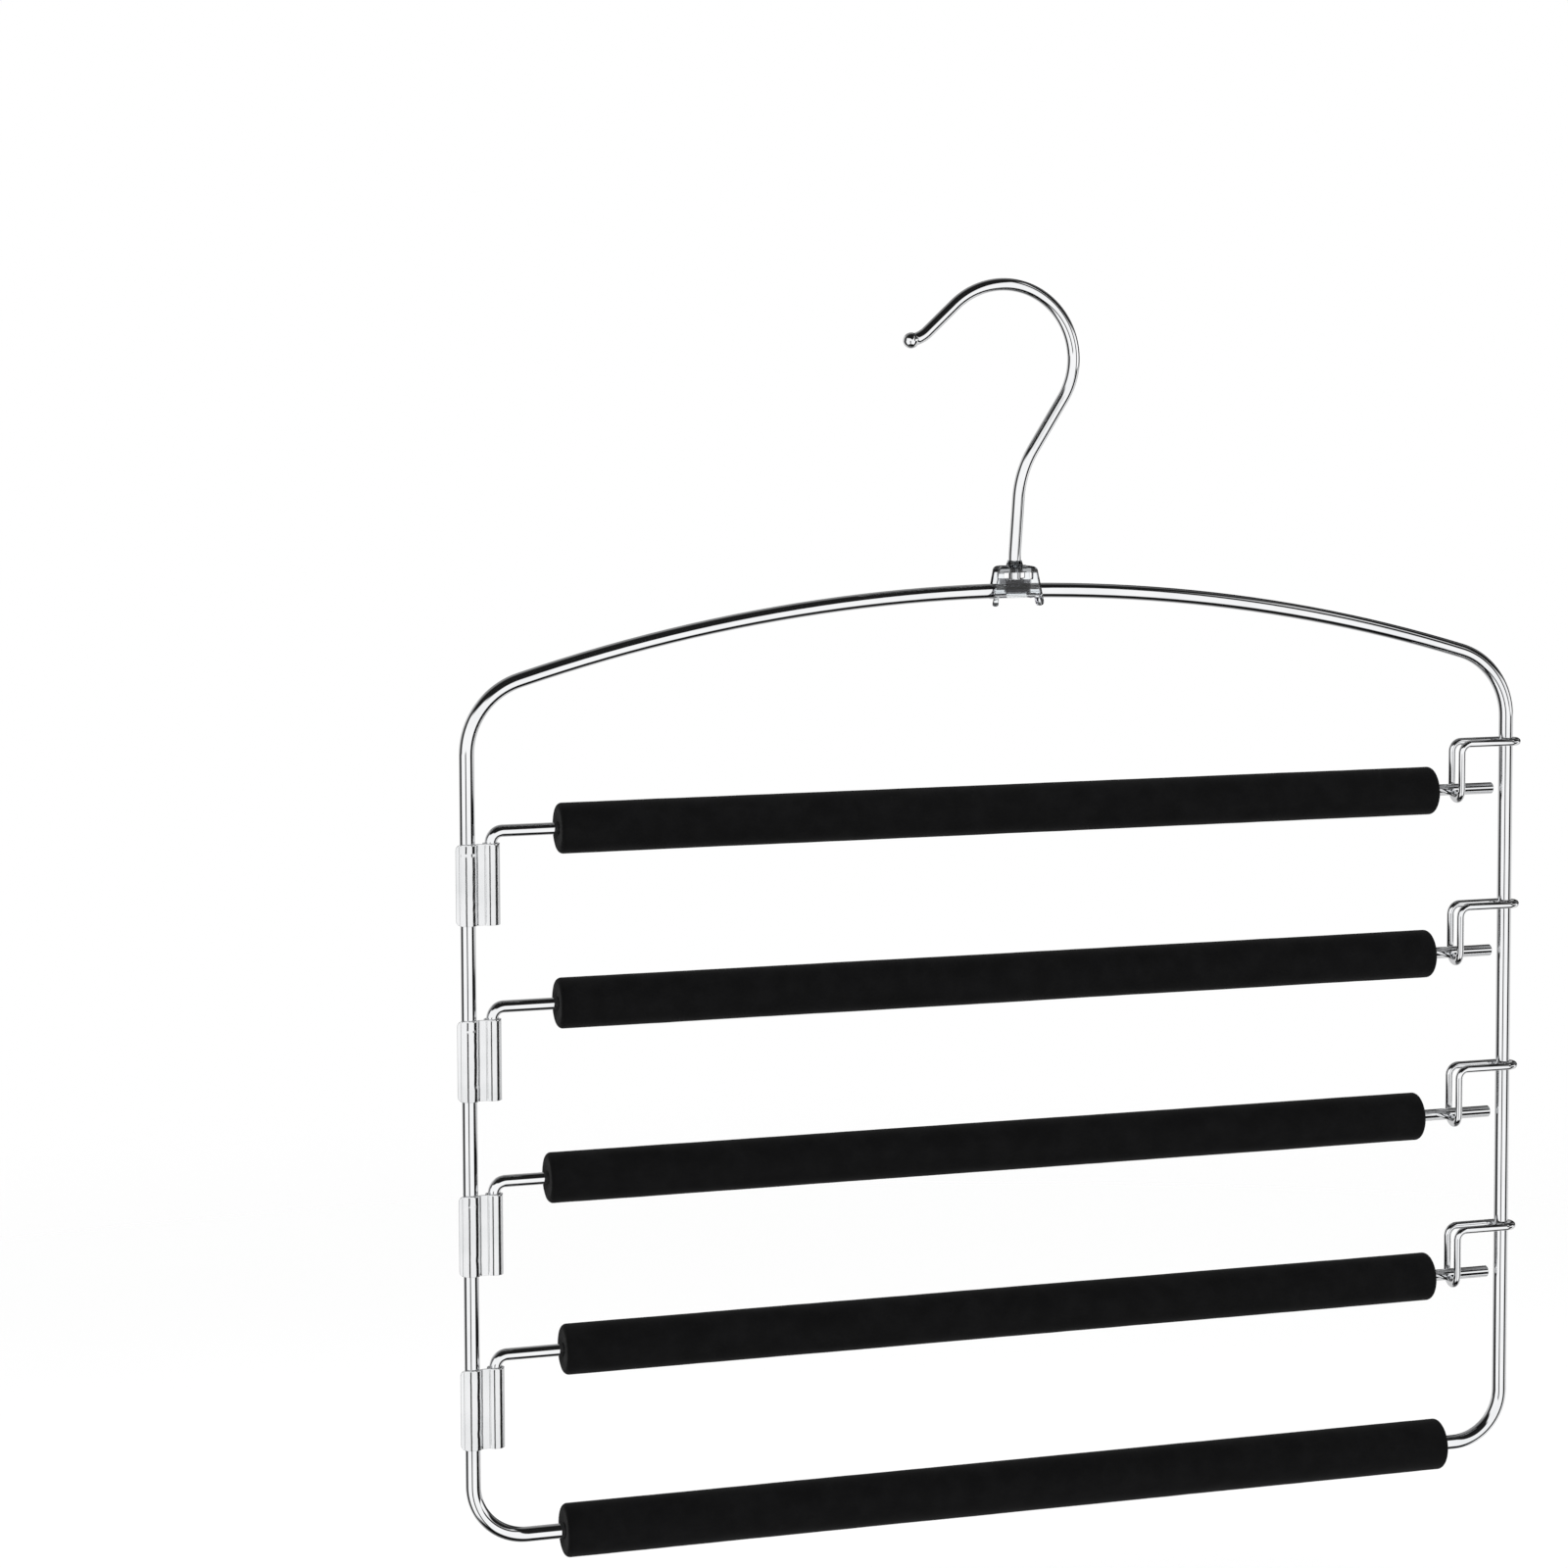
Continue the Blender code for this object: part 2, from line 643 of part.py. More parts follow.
def build_tier(number, frame):
    """One tier: hinge leaf and catch on the frame, and the arm with its sleeve."""
    height = LOWEST_TIER + TIER_PITCH * (TIER_COUNT - number)
    build_hinge_bracket("hinge_bracket_%d" % number, height, frame)
    build_arm_catch("arm_catch_%d" % number, height, frame)
    pivot = make_empty("arm_pivot_%d" % number, (HINGE_X, 0, height), frame)
    build_swing_arm("swing_arm_%d" % number, pivot)
    slip = FOAM_SLIPS[(number - 1) % len(FOAM_SLIPS)]
    build_arm_foam("arm_foam_%d" % number, slip, pivot)


def main():
    """Build the hanger with the rail's seat at the origin."""
    clear_scene()
    swivel = make_empty("frame_swivel", -rail_seat())
    build_top_clip(swivel)
    build_hook(swivel)
    frame = make_empty("frame_middle", -clip_place(), swivel)
    build_outer_frame(frame)
    build_bottom_foam(frame)
    for number in range(1, TIER_COUNT + 1):
        build_tier(number, frame)


main()
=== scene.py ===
# %% [markdown]
# # Multi tier trouser hanger
# A flat wire hanger for trousers. One loop of chromed wire carries four swinging arms,
# and every bar wears a black foam sleeve so that cloth doesn't slide off. The packed
# model gives every piece its place. This script dresses it: smooth drawn wires in place
# of the faceted ones, pressed hinge leaves, foam with a skin and cut ends, clear plastic.
# Lengths are in metres. +X is to the right, +Y is to the back and +Z is up.

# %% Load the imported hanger
import math

import bmesh
import bpy
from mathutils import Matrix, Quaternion, Vector, noise


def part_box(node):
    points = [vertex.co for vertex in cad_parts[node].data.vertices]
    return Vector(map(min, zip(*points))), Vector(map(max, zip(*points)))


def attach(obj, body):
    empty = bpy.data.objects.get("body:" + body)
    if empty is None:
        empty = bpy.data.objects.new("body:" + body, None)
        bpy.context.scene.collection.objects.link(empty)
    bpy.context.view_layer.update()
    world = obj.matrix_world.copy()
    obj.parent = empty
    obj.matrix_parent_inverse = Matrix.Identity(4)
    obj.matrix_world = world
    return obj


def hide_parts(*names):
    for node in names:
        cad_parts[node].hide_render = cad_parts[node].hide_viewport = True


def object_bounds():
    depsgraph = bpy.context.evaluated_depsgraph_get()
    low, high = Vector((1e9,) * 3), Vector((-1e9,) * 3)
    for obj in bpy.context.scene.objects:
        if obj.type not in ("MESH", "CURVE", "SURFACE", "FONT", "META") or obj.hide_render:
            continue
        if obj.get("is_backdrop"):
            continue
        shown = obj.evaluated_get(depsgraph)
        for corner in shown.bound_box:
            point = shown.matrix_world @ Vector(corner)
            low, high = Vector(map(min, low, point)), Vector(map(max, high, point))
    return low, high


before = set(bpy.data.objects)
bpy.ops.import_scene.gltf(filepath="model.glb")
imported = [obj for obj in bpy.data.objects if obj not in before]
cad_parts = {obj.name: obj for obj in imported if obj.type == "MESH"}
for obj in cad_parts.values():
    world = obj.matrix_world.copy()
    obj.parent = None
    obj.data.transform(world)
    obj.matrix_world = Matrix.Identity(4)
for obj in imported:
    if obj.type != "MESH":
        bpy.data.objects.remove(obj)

cad_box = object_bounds()
TIERS = range(1, 5)
MM = 1000
print("packed hanger:", [round(MM * side, 1) for side in cad_box[1] - cad_box[0]], "mm")

# %% [markdown]
# ## Where everything is
# The wires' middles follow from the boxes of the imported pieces, so nothing here is
# placed by eye. The left side wire carries the hinges and the right one the catches.
# GAP is the play between two pieces, which touch or nearly touch on the real hanger.

# %% Find the middles of the wires
FRAME_WIRE = 0.0050
ARM_WIRE = 0.0040
CATCH_WIRE = 0.0025
HOOK_WIRE = 0.0042
GAP = 0.0003
frame_low, frame_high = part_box("outer_frame")
HALF_WIDTH = (frame_high.x - frame_low.x - FRAME_WIRE) / 2
MIDDLE = Vector(((frame_low.x + frame_high.x) / 2, 0, frame_low.z + FRAME_WIRE / 2))
FRAME_HEIGHT = frame_high.z - FRAME_WIRE / 2 - MIDDLE.z
arm_height = {tier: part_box("swing_arm_%d" % tier)[1].z - ARM_WIRE / 2 for tier in TIERS}
HINGE_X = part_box("swing_arm_1")[0].x + ARM_WIRE / 2
print("half width", round(HALF_WIDTH * MM, 2), "height", round(FRAME_HEIGHT * MM, 2), "mm")
print("arms at", [round(height * MM, 1) for height in arm_height.values()], "mm")

# %% [markdown]
# ## Looking through the same window as the photograph
# The camera stands to the left, level with the hook, and looks slightly down. A long
# lens keeps the bars nearly parallel. A small shift slides the picture without turning
# the camera, as a view camera does, which keeps the upright wires from leaning.

# %% Stand the camera
CAMERA_FROM_MIDDLE = Vector((-0.471157, -1.319397, 0.413238))
CAMERA_TILT_DOWN = 0.07851
CAMERA_TURN = -0.33033
CAMERA_SHIFT = -0.11
camera_data = bpy.data.cameras.new("photograph_view")
camera_data.lens = 94.995
camera_data.sensor_width = 36.0
camera_data.shift_x = CAMERA_SHIFT
camera_data.shift_y = CAMERA_SHIFT
camera = bpy.data.objects.new("photograph_view", camera_data)
bpy.context.scene.collection.objects.link(camera)
camera.location = MIDDLE + CAMERA_FROM_MIDDLE
camera.rotation_euler = (math.pi / 2 - CAMERA_TILT_DOWN, 0, CAMERA_TURN)
bpy.context.scene.camera = camera
bpy.context.scene.view_settings.view_transform = "Standard"
print("camera at", [round(value, 3) for value in camera.location])

# %% [markdown]
# ## A short way to write nodes
# A finish is a sum of small signals: a little noise here, a mask there. The class below
# lets such sums be written as sums. Anything else is made by one method, which sets a
# node's own choices first and then joins or fills its sockets.

# %% Write node trees as sums
class Signal:
    """One output of a node, on which sums can be written."""

    def __init__(self, book, socket):
        self.book = book
        self.socket = socket

    def sum_of(self, operation, first, second=0.0):
        """Math node on two signals or numbers."""
        return self.book.make("ShaderNodeMath", {"operation": operation}, {0: first, 1: second})

    def __add__(self, other):
        return self.sum_of("ADD", self, other)

    def __radd__(self, other):
        return self.sum_of("ADD", other, self)

    def __sub__(self, other):
        return self.sum_of("SUBTRACT", self, other)

    def __rsub__(self, other):
        return self.sum_of("SUBTRACT", other, self)

    def __mul__(self, other):
        return self.sum_of("MULTIPLY", self, other)

    def __rmul__(self, other):
        return self.sum_of("MULTIPLY", other, self)

    def __abs__(self):
        return self.sum_of("ABSOLUTE", self)

    def rising(self, low, high):
        """Smooth step from 0 at low to 1 at high."""
        return self.book.make("ShaderNodeMapRange", {"interpolation_type": "SMOOTHSTEP"},
                              {0: self, 1: low, 2: high})

    def of(self, name):
        """Another output of the same node."""
        return Signal(self.book, self.socket.node.outputs[name])


class NodeBook:
    """A node tree being written."""

    def __init__(self, tree):
        self.tree = tree

    def make(self, kind, settings=None, values=None, out=0):
        """Add a node: its settings first, then the values or links of its sockets."""
        node = self.tree.nodes.new(kind)
        for name, setting in (settings or {}).items():
            setattr(node, name, setting)
        for name, value in (values or {}).items():
            if isinstance(value, Signal):
                self.tree.links.new(value.socket, node.inputs[name])
            else:
                node.inputs[name].default_value = value
        return Signal(self, node.outputs[out]) if node.outputs else None

    def blend(self, share, first, second):
        """Colour that goes from first to second."""
        values = {0: share, 6: first, 7: second}
        return self.make("ShaderNodeMix", {"data_type": "RGBA"}, values, out=2)

    def noise(self, place, scale, detail=2.0, roughness=0.5):
        """Soft cloudy noise from 0 to 1."""
        values = {"Vector": place, "Scale": scale, "Detail": detail, "Roughness": roughness}
        return self.make("ShaderNodeTexNoise", None, values)

    def stretched(self, place, scale):
        """The same place, stretched or squeezed along each axis."""
        return self.make("ShaderNodeVectorMath", {"operation": "MULTIPLY"}, {0: place, 1: scale})


def grey(value):
    """Colour of one level."""
    return (value, value, value, 1.0)


print("node writer ready; middle grey is", grey(0.5))

# %% [markdown]
# ## The studio
# Chrome shows only what stands round it. In a white room it would vanish against the
# white paper, so a photographer leaves dark gaps: overhead, low down and at the sides.
# They draw the fine dark lines along each wire. The background is white where the
# camera, a mirror or clear plastic looks at it, and plain soft light for matte things.
# A picture of a real room could light the chrome too. A few soft masks on the direction
# need no picture, and each of them can be moved on its own.
#
# Each upright gap below is four numbers: its middle, in degrees to the right of straight
# in front of the hanger, half its width, the width of its soft edge, and the light left
# in it. The low gaps stand below GAPS_CHANGE and the high ones above it. The roof starts
# at ROOF_STARTS, which is lifted at the right and the left, and the dark underside
# at UNDERSIDE_STARTS. Each pair is where a soft change begins and ends.

# %% Paint the room that the chrome sees
LOW_GAPS = ((-26, 6, 4, 0.03), (64, 16, 5, 0.008), (-116, 20, 6, 0.04))
HIGH_GAPS = ((40, 6, 5, 0.02), (-108, 16, 14, 0.05), (128, 30, 14, 0.03))
GAPS_CHANGE = (-0.105, -0.060)
ROOF_STARTS = (0.16, 0.30)
UNDERSIDE_STARTS = (0.72, 0.86)
LIFT_RIGHT, LIFT_LEFT = 0.55, 0.27
WALL_FRONT, WALL_BACK = 1.0, 0.60
ROOF_FRONT, ROOF_BACK = 0.012, 0.30
UNDERSIDE_FRONT, UNDERSIDE_BACK = 0.004, 0.16


def room_for_mirrors(book, direction):
    """Light that a mirror finds in each direction: white, with soft dark gaps."""
    split = book.make("ShaderNodeSeparateXYZ", None, {0: direction})
    across, away, up = split, split.of("Y"), split.of("Z")
    turn = book.make("ShaderNodeMath", {"operation": "ARCTAN2"}, {0: across, 1: 0.0 - away})

    def with_gaps(level, gaps):
        """The level light, with upright gaps cut into it."""
        for angle, half, soft, left_over in gaps:
            distance = abs(turn - math.radians(angle))
            inside = 1.0 - distance.rising(math.radians(half), math.radians(half + soft))
            level = book.blend(inside, level, grey(left_over))
        return level

    walls = book.blend(away.rising(-0.05, 0.35), grey(WALL_FRONT), grey(WALL_BACK))
    high = up.rising(*GAPS_CHANGE)
    walls = book.blend(high, with_gaps(walls, LOW_GAPS), with_gaps(walls, HIGH_GAPS))
    lifted = across.rising(0.15, 0.50) * (1.0 - across.rising(0.55, 0.80)) * LIFT_RIGHT
    lifted = lifted + (across * -1.0).rising(0.0, 0.5) * LIFT_LEFT
    roof = book.blend(away.rising(0.05, 0.75), grey(ROOF_FRONT), grey(ROOF_BACK))
    upper = book.blend((up - lifted).rising(*ROOF_STARTS), walls, roof)
    under = book.blend(away.rising(-0.1, 0.6), grey(UNDERSIDE_FRONT), grey(UNDERSIDE_BACK))
    return book.blend((0.0 - up).rising(*UNDERSIDE_STARTS), upper, under)


def room_for_plastic(book, direction):
    """Light that clear plastic gathers: white to the front and back, dim elsewhere."""
    split = book.make("ShaderNodeSeparateXYZ", None, {0: direction})
    ahead = abs(split.of("Y")).rising(0.66, 0.88)
    level_height = 1.0 - abs(split.of("Z")).rising(0.22, 0.42)
    return book.blend(ahead * level_height, grey(0.04), grey(1.0))


def light_the_room():
    """World: white behind, gaps for mirrors, and plain light for matte finishes."""
    world = bpy.data.worlds.new("studio_room")
    bpy.context.scene.world = world
    world.use_nodes = True
    world.node_tree.nodes.clear()
    book = NodeBook(world.node_tree)
    direction = book.make("ShaderNodeTexCoord", None, None, out="Generated")
    ray = book.make("ShaderNodeLightPath", None, None, out="Is Camera Ray")
    mirrors = room_for_mirrors(book, direction)
    height = book.make("ShaderNodeSeparateXYZ", None, {0: direction}, out="Z")
    plain = book.blend(height.rising(-0.6, 0.8), grey(0.45), grey(0.90))
    colour = book.blend(ray.of("Is Glossy Ray"), plain, mirrors)
    colour = book.blend(ray.of("Is Transmission Ray"), colour, room_for_plastic(book, direction))
    colour = book.blend(ray, colour, grey(1.0))
    shade = book.make("ShaderNodeBackground", None, {"Color": colour, "Strength": 1.0})
    book.make("ShaderNodeOutputWorld", None, {"Surface": shade})


light_the_room()
print("room painted")

# %% [markdown]
# ## The lamps
# Black foam shows its roundness only where light grazes it. The room alone would leave
# it flat, and a small hard lamp would draw a line along it. So there are two soft lamps:
# a wide one above and to the left, and a weak one from the right. Chrome doesn't see
# them, so they add no glare to it.

# %% Hang the lamps
def soft_lamp(name, place, target, size, power):
    """Square area lamp that looks at a point."""
    lamp = bpy.data.lights.new(name, "AREA")
    lamp.size = size
    lamp.energy = power
    item = bpy.data.objects.new(name, lamp)
    bpy.context.scene.collection.objects.link(item)
    item.location = place
    item.rotation_euler = (target - Vector(place)).to_track_quat("-Z", "Y").to_euler()
    item.visible_glossy = False


aim = MIDDLE + Vector((0, 0, FRAME_HEIGHT / 2))
soft_lamp("lamp_above", (-0.9, -1.5, 1.3), aim, size=1.4, power=26.0)
soft_lamp("lamp_right", (1.5, -1.0, 0.2), aim, size=1.2, power=8.0)
print("lamps hung")

# %% [markdown]
# ## The floor
# The floor is a pale sheet a little below the hanger, which catches its soft shadow.
# It thins out to nothing at its edge, so no horizon line crosses the white background.

# %% Lay the floor
FLOOR_RADIUS = 1.6
FLOOR_BELOW = 0.14
FLOOR_FADES = (0.5, 1.5)


def new_item(name, bm):
    """Object made of what a bmesh holds; the bmesh is freed."""
    mesh = bpy.data.meshes.new(name)
    bm.to_mesh(mesh)
    bm.free()
    item = bpy.data.objects.new(name, mesh)
    bpy.context.scene.collection.objects.link(item)
    return item


def lay_floor():
    """Round pale floor that fades out."""
    bm = bmesh.new()
    bmesh.ops.create_circle(bm, cap_ends=True, segments=96, radius=FLOOR_RADIUS)
    floor = new_item("floor", bm)
    floor.location = (MIDDLE.x, 0.0, cad_box[0].z - FLOOR_BELOW)
    floor.visible_glossy = False
    material = bpy.data.materials.new("pale_floor")
    material.use_nodes = True
    material.node_tree.nodes.clear()
    book = NodeBook(material.node_tree)
    place = book.make("ShaderNodeTexCoord", None, None, out="Object")
    reach = book.make("ShaderNodeVectorMath", {"operation": "LENGTH"}, {0: place}, out="Value")
    paper = book.make("ShaderNodeBsdfDiffuse", None, {"Color": grey(0.95)})
    nothing = book.make("ShaderNodeBsdfTransparent")
    mixed = book.make("ShaderNodeMixShader", None,
                      {0: reach.rising(*FLOOR_FADES), 1: paper, 2: nothing})
    book.make("ShaderNodeOutputMaterial", None, {"Surface": mixed})
    floor.data.materials.append(material)
    floor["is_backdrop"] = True


lay_floor()
print("floor laid")

# %% [markdown]
# ## Chrome
# The wires are steel, drawn, bent and plated. Plating copies the wire below it, so the
# mirror is never quite flat: long faint draw lines run along the wire, and a slow
# ripple bends the reflections. Noise on plain coordinates would cut across the bends, so
# the draw lines read the grain that each wire notes of itself. The sheet of the hinge
# leaves has the same finish, a shade duller.

# %% Mix the chromes
def open_finish(name, **constants):
    """Material with one Principled shader, whose plain values are set on its sockets."""
    material = bpy.data.materials.new(name)
    material.use_nodes = True
    shader = material.node_tree.nodes["Principled BSDF"]
    for socket, value in constants.items():
        shader.inputs[socket.replace("_", " ")].default_value = value
    return material, NodeBook(material.node_tree), shader


def feed(book, shader, socket, signal):
    """Join a signal to one of the shader's sockets."""
    book.tree.links.new(signal.socket, shader.inputs[socket])


def chrome_finish(name, bright, dull, ripple, smooth, rough):
    """Plated steel that follows the wire's own grain."""
    material, book, shader = open_finish(name, Metallic=1.0)
    place = book.make("ShaderNodeTexCoord", None, None, out="Object")
    grain = book.make("ShaderNodeAttribute", {"attribute_name": "wire_grain"}, None, out="Vector")
    lines = book.noise(book.stretched(grain, (30.0, 1400.0, 1400.0)), 1.0, 3.0)
    ripples = book.noise(place, 210.0, 1.0)
    clouds = book.noise(place, 55.0, 3.0)
    feed(book, shader, "Base Color", book.blend(clouds.rising(0.35, 0.75), bright, dull))
    feed(book, shader, "Roughness", smooth + (rough - smooth) * (clouds * 0.5 + lines * 0.5))
    fine = book.make("ShaderNodeBump", None,
                     {"Strength": 0.25, "Distance": 0.000004, "Height": lines})
    wavy = book.make("ShaderNodeBump", None,
                     {"Strength": 1.0, "Distance": ripple, "Height": ripples, "Normal": fine})
    feed(book, shader, "Normal", wavy)
    return material


WIRE_CHROME = chrome_finish("wire_chrome", (0.93, 0.935, 0.945, 1), (0.86, 0.87, 0.885, 1),
                            ripple=0.000010, smooth=0.02, rough=0.06)
SHEET_CHROME = chrome_finish("sheet_chrome", (0.88, 0.885, 0.895, 1), (0.78, 0.79, 0.80, 1),
                             ripple=0.000020, smooth=0.06, rough=0.16)
print("chromes mixed")

# %% [markdown]
# ## Drawing a wire
# Every wire here is a line with a thickness. Its middle line is set out as a wire
# bender works: so far straight on, then a bend of a set radius. A small node tree then
# draws a round bar along the line. It also notes, at every point, how far along the
# wire and where round it the point lies, so that the draw lines can follow the bends.
# A curve with a bevel would give the same bar in one step, but it keeps no such notes.

# %% Set out a wire's middle line
class BentLine:
    """Middle line of a wire: straight runs and bends."""

    def __init__(self, start, heading):
        self.points = [Vector(start)]
        self.heading = Vector(heading).normalized()

    def run(self, length):
        """Go straight on."""
        self.points.append(self.points[-1] + self.heading * length)
        return self

    def bend(self, radius, angle, axis, step=math.radians(3.75)):
        """Turn by an angle about an axis, with a point at least every step."""
        count = max(1, math.ceil(angle / step))
        centre = self.points[-1] + axis.cross(self.heading) * radius
        spoke = self.points[-1] - centre
        self.points += [centre + Quaternion(axis, angle * number / count) @ spoke
                        for number in range(1, count + 1)]
        self.heading = Quaternion(axis, angle) @ self.heading
        return self


X_AXIS, Y_AXIS, Z_AXIS = Vector((1, 0, 0)), Vector((0, 1, 0)), Vector((0, 0, 1))
quarter = BentLine((0, 0, 0), X_AXIS).bend(0.010, math.pi / 2, Y_AXIS)
print("a quarter bend has", len(quarter.points), "points and now heads", quarter.heading)

# %% Write the tree that draws a round bar along a line
def note(book, geometry, name, value, kind="FLOAT"):
    """Keep a value on each point of a line."""
    node = book.tree.nodes.new("GeometryNodeCaptureAttribute")
    node.capture_items.new(kind, name)
    book.tree.links.new(geometry.socket, node.inputs[0])
    book.tree.links.new(value.socket, node.inputs[1])
    return Signal(book, node.outputs[0])


def wire_drawing_tree():
    """Geometry nodes: a line in, a round bar with its grain noted out."""
    tree = bpy.data.node_groups.new("draw_wire", "GeometryNodeTree")
    face = tree.interface
    face.new_socket("Line", in_out="INPUT", socket_type="NodeSocketGeometry")
    face.new_socket("Thickness", in_out="INPUT", socket_type="NodeSocketFloat")
    face.new_socket("Facets round", in_out="INPUT", socket_type="NodeSocketInt")
    face.new_socket("Finish", in_out="INPUT", socket_type="NodeSocketMaterial")
    face.new_socket("Wire", in_out="OUTPUT", socket_type="NodeSocketGeometry")
    book = NodeBook(tree)
    line = book.make("NodeGroupInput")
    travelled = book.make("GeometryNodeSplineParameter", None, None, out="Length")
    rail = note(book, line, "along", travelled)
    ring = book.make("GeometryNodeCurvePrimitiveCircle", None,
                     {"Resolution": line.of("Facets round"), "Radius": line.of("Thickness") * 0.5})
    spot = book.make("GeometryNodeInputPosition")
    section = note(book, ring, "round", spot, "VECTOR")
    swell = book.make("GeometryNodeInputRadius")
    bar = book.make("GeometryNodeCurveToMesh", None,
                    {"Curve": rail, "Profile Curve": section, "Scale": swell, "Fill Caps": True})
    sides = book.make("ShaderNodeSeparateXYZ", None, {0: section.of("round")})
    grain = book.make("ShaderNodeCombineXYZ", None,
                      {0: rail.of("along"), 1: sides, 2: sides.of("Y")})
    bar = book.make("GeometryNodeStoreNamedAttribute",
                    {"data_type": "FLOAT_VECTOR", "domain": "POINT"},
                    {"Geometry": bar, "Name": "wire_grain", "Value": grain})
    bar = book.make("GeometryNodeRealizeInstances", None, {"Geometry": bar})
    bar = book.make("GeometryNodeSetMaterial", None,
                    {"Geometry": bar, "Material": line.of("Finish")})
    book.make("NodeGroupOutput", None, {"Wire": bar})
    return tree


DRAW_WIRE = wire_drawing_tree()
print("wire drawing tree:", len(DRAW_WIRE.nodes), "nodes")

# %% Turn a line into a finished wire
SHARP = math.radians(50)


def draw_wire(name, points, thickness, finish, closed=False, swell=None, facets=32):
    """Plain mesh of a wire along points, already in its place."""
    data = bpy.data.curves.new(name + "_line", "CURVE")
    data.dimensions = "3D"
    spline = data.splines.new("POLY")
    spline.points.add(len(points) - 1)
    for index, point in enumerate(points):
        spline.points[index].co = (*point, 1.0)
        spline.points[index].radius = swell[index] if swell else 1.0
    spline.use_cyclic_u = closed
    line = bpy.data.objects.new(name + "_line", data)
    bpy.context.scene.collection.objects.link(line)
    modifier = line.modifiers.new("draw_wire", "NODES")
    modifier.node_group = DRAW_WIRE
    named = {item.name: item.identifier for item in DRAW_WIRE.interface.items_tree}
    modifier[named["Thickness"]] = thickness
    modifier[named["Facets round"]] = facets
    modifier[named["Finish"]] = finish
    return plain_piece(name, line)


def plain_piece(name, source):
    """Plain mesh of an object as its modifiers leave it; the source is removed."""
    view = bpy.context.evaluated_depsgraph_get()
    mesh = bpy.data.meshes.new_from_object(source.evaluated_get(view))
    mesh.name = name
    bpy.data.objects.remove(source)
    item = bpy.data.objects.new(name, mesh)
    bpy.context.scene.collection.objects.link(item)
    mesh.shade_smooth()
    mesh.set_sharp_from_angle(angle=SHARP)
    return item


def hand_over(item, body, slot, *nodes):
    """Let a piece ride on its body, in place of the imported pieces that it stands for."""
    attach(item, body)
    if nodes:
        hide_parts(*nodes)
    return item


print("a wire's edges over", round(math.degrees(SHARP)), "degrees stay sharp")

# %% [markdown]
# ## The frame
# One length of 5 mm wire, bent to a flat bottom, two upright sides and a shallow arch,
# then welded shut where the bottom sleeve hides the joint. It could be put together from
# rods and quarter rings. One closed line has no seams for the chrome to show, and the
# arch's angle follows from its radius and from that of the shoulders.

# %% Bend the frame
ARCH_RADIUS = 0.5820
ARCH_STEP = math.radians(0.75)
SHOULDER_RADIUS = 0.0250
LOWER_CORNER_RADIUS = 0.0180
half_arch = math.asin((HALF_WIDTH - SHOULDER_RADIUS) / (ARCH_RADIUS - SHOULDER_RADIUS))
shoulder_from_centre = (ARCH_RADIUS - SHOULDER_RADIUS) * math.cos(half_arch)
shoulder_height = FRAME_HEIGHT - ARCH_RADIUS + shoulder_from_centre
side_run = shoulder_height - LOWER_CORNER_RADIUS
line = BentLine(MIDDLE, X_AXIS).run(HALF_WIDTH - LOWER_CORNER_RADIUS)
line.bend(LOWER_CORNER_RADIUS, math.pi / 2, -Y_AXIS).run(side_run)
line.bend(SHOULDER_RADIUS, math.pi / 2 - half_arch, -Y_AXIS)
line.bend(ARCH_RADIUS, 2 * half_arch, -Y_AXIS, ARCH_STEP)
line.bend(SHOULDER_RADIUS, math.pi / 2 - half_arch, -Y_AXIS).run(side_run)
line.bend(LOWER_CORNER_RADIUS, math.pi / 2, -Y_AXIS).run(HALF_WIDTH - LOWER_CORNER_RADIUS)
frame_wire = draw_wire("frame_wire", line.points[:-1], FRAME_WIRE, WIRE_CHROME, closed=True)
hand_over(frame_wire, "frame", "chrome", "outer_frame")
print("frame wire:", len(frame_wire.data.polygons), "faces")

# %% [markdown]
# ## The swinging arms
# Each arm is 4 mm wire. Its left end is bent down into the hinge, where it is its own
# hinge pin, and its right end is cut square and just broken at the edge. A bevel on the
# finished bar could break that edge. Here the line has one more point close to each end
# and is drawn a little thinner at its last one, which does the same.

# %% Draw the arms
ARM_BEND_RADIUS = 0.0038
TIP_CHAMFER = 0.0004
for tier in TIERS:
    low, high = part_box("swing_arm_%d" % tier)
    line = BentLine((HINGE_X, 0, low.z), Z_AXIS).run(TIP_CHAMFER)
    line.run(arm_height[tier] - ARM_BEND_RADIUS - low.z - TIP_CHAMFER)
    line.bend(ARM_BEND_RADIUS, math.pi / 2, Y_AXIS)
    line.run(high.x - TIP_CHAMFER - line.points[-1].x).run(TIP_CHAMFER)
    swell = [1.0] * len(line.points)
    swell[0] = swell[-1] = 1.0 - 2 * TIP_CHAMFER / ARM_WIRE
    arm = draw_wire("arm_wire_%d" % tier, line.points, ARM_WIRE, WIRE_CHROME, swell=swell)
    hand_over(arm, "arm_%d" % tier, "chrome", "swing_arm_%d" % tier)
print("arms drawn")

# %% [markdown]
# ## The catches
# A closed loop of 2.5 mm wire is threaded round the right side wire, turned down and
# bent to a cradle under each arm's tip. The arm springs up out of it. All four are set
# out by the same bends at four heights. The loop's width and the cradle's depth follow
# from the thickness of the wires that they touch, so they fit if a wire is changed.

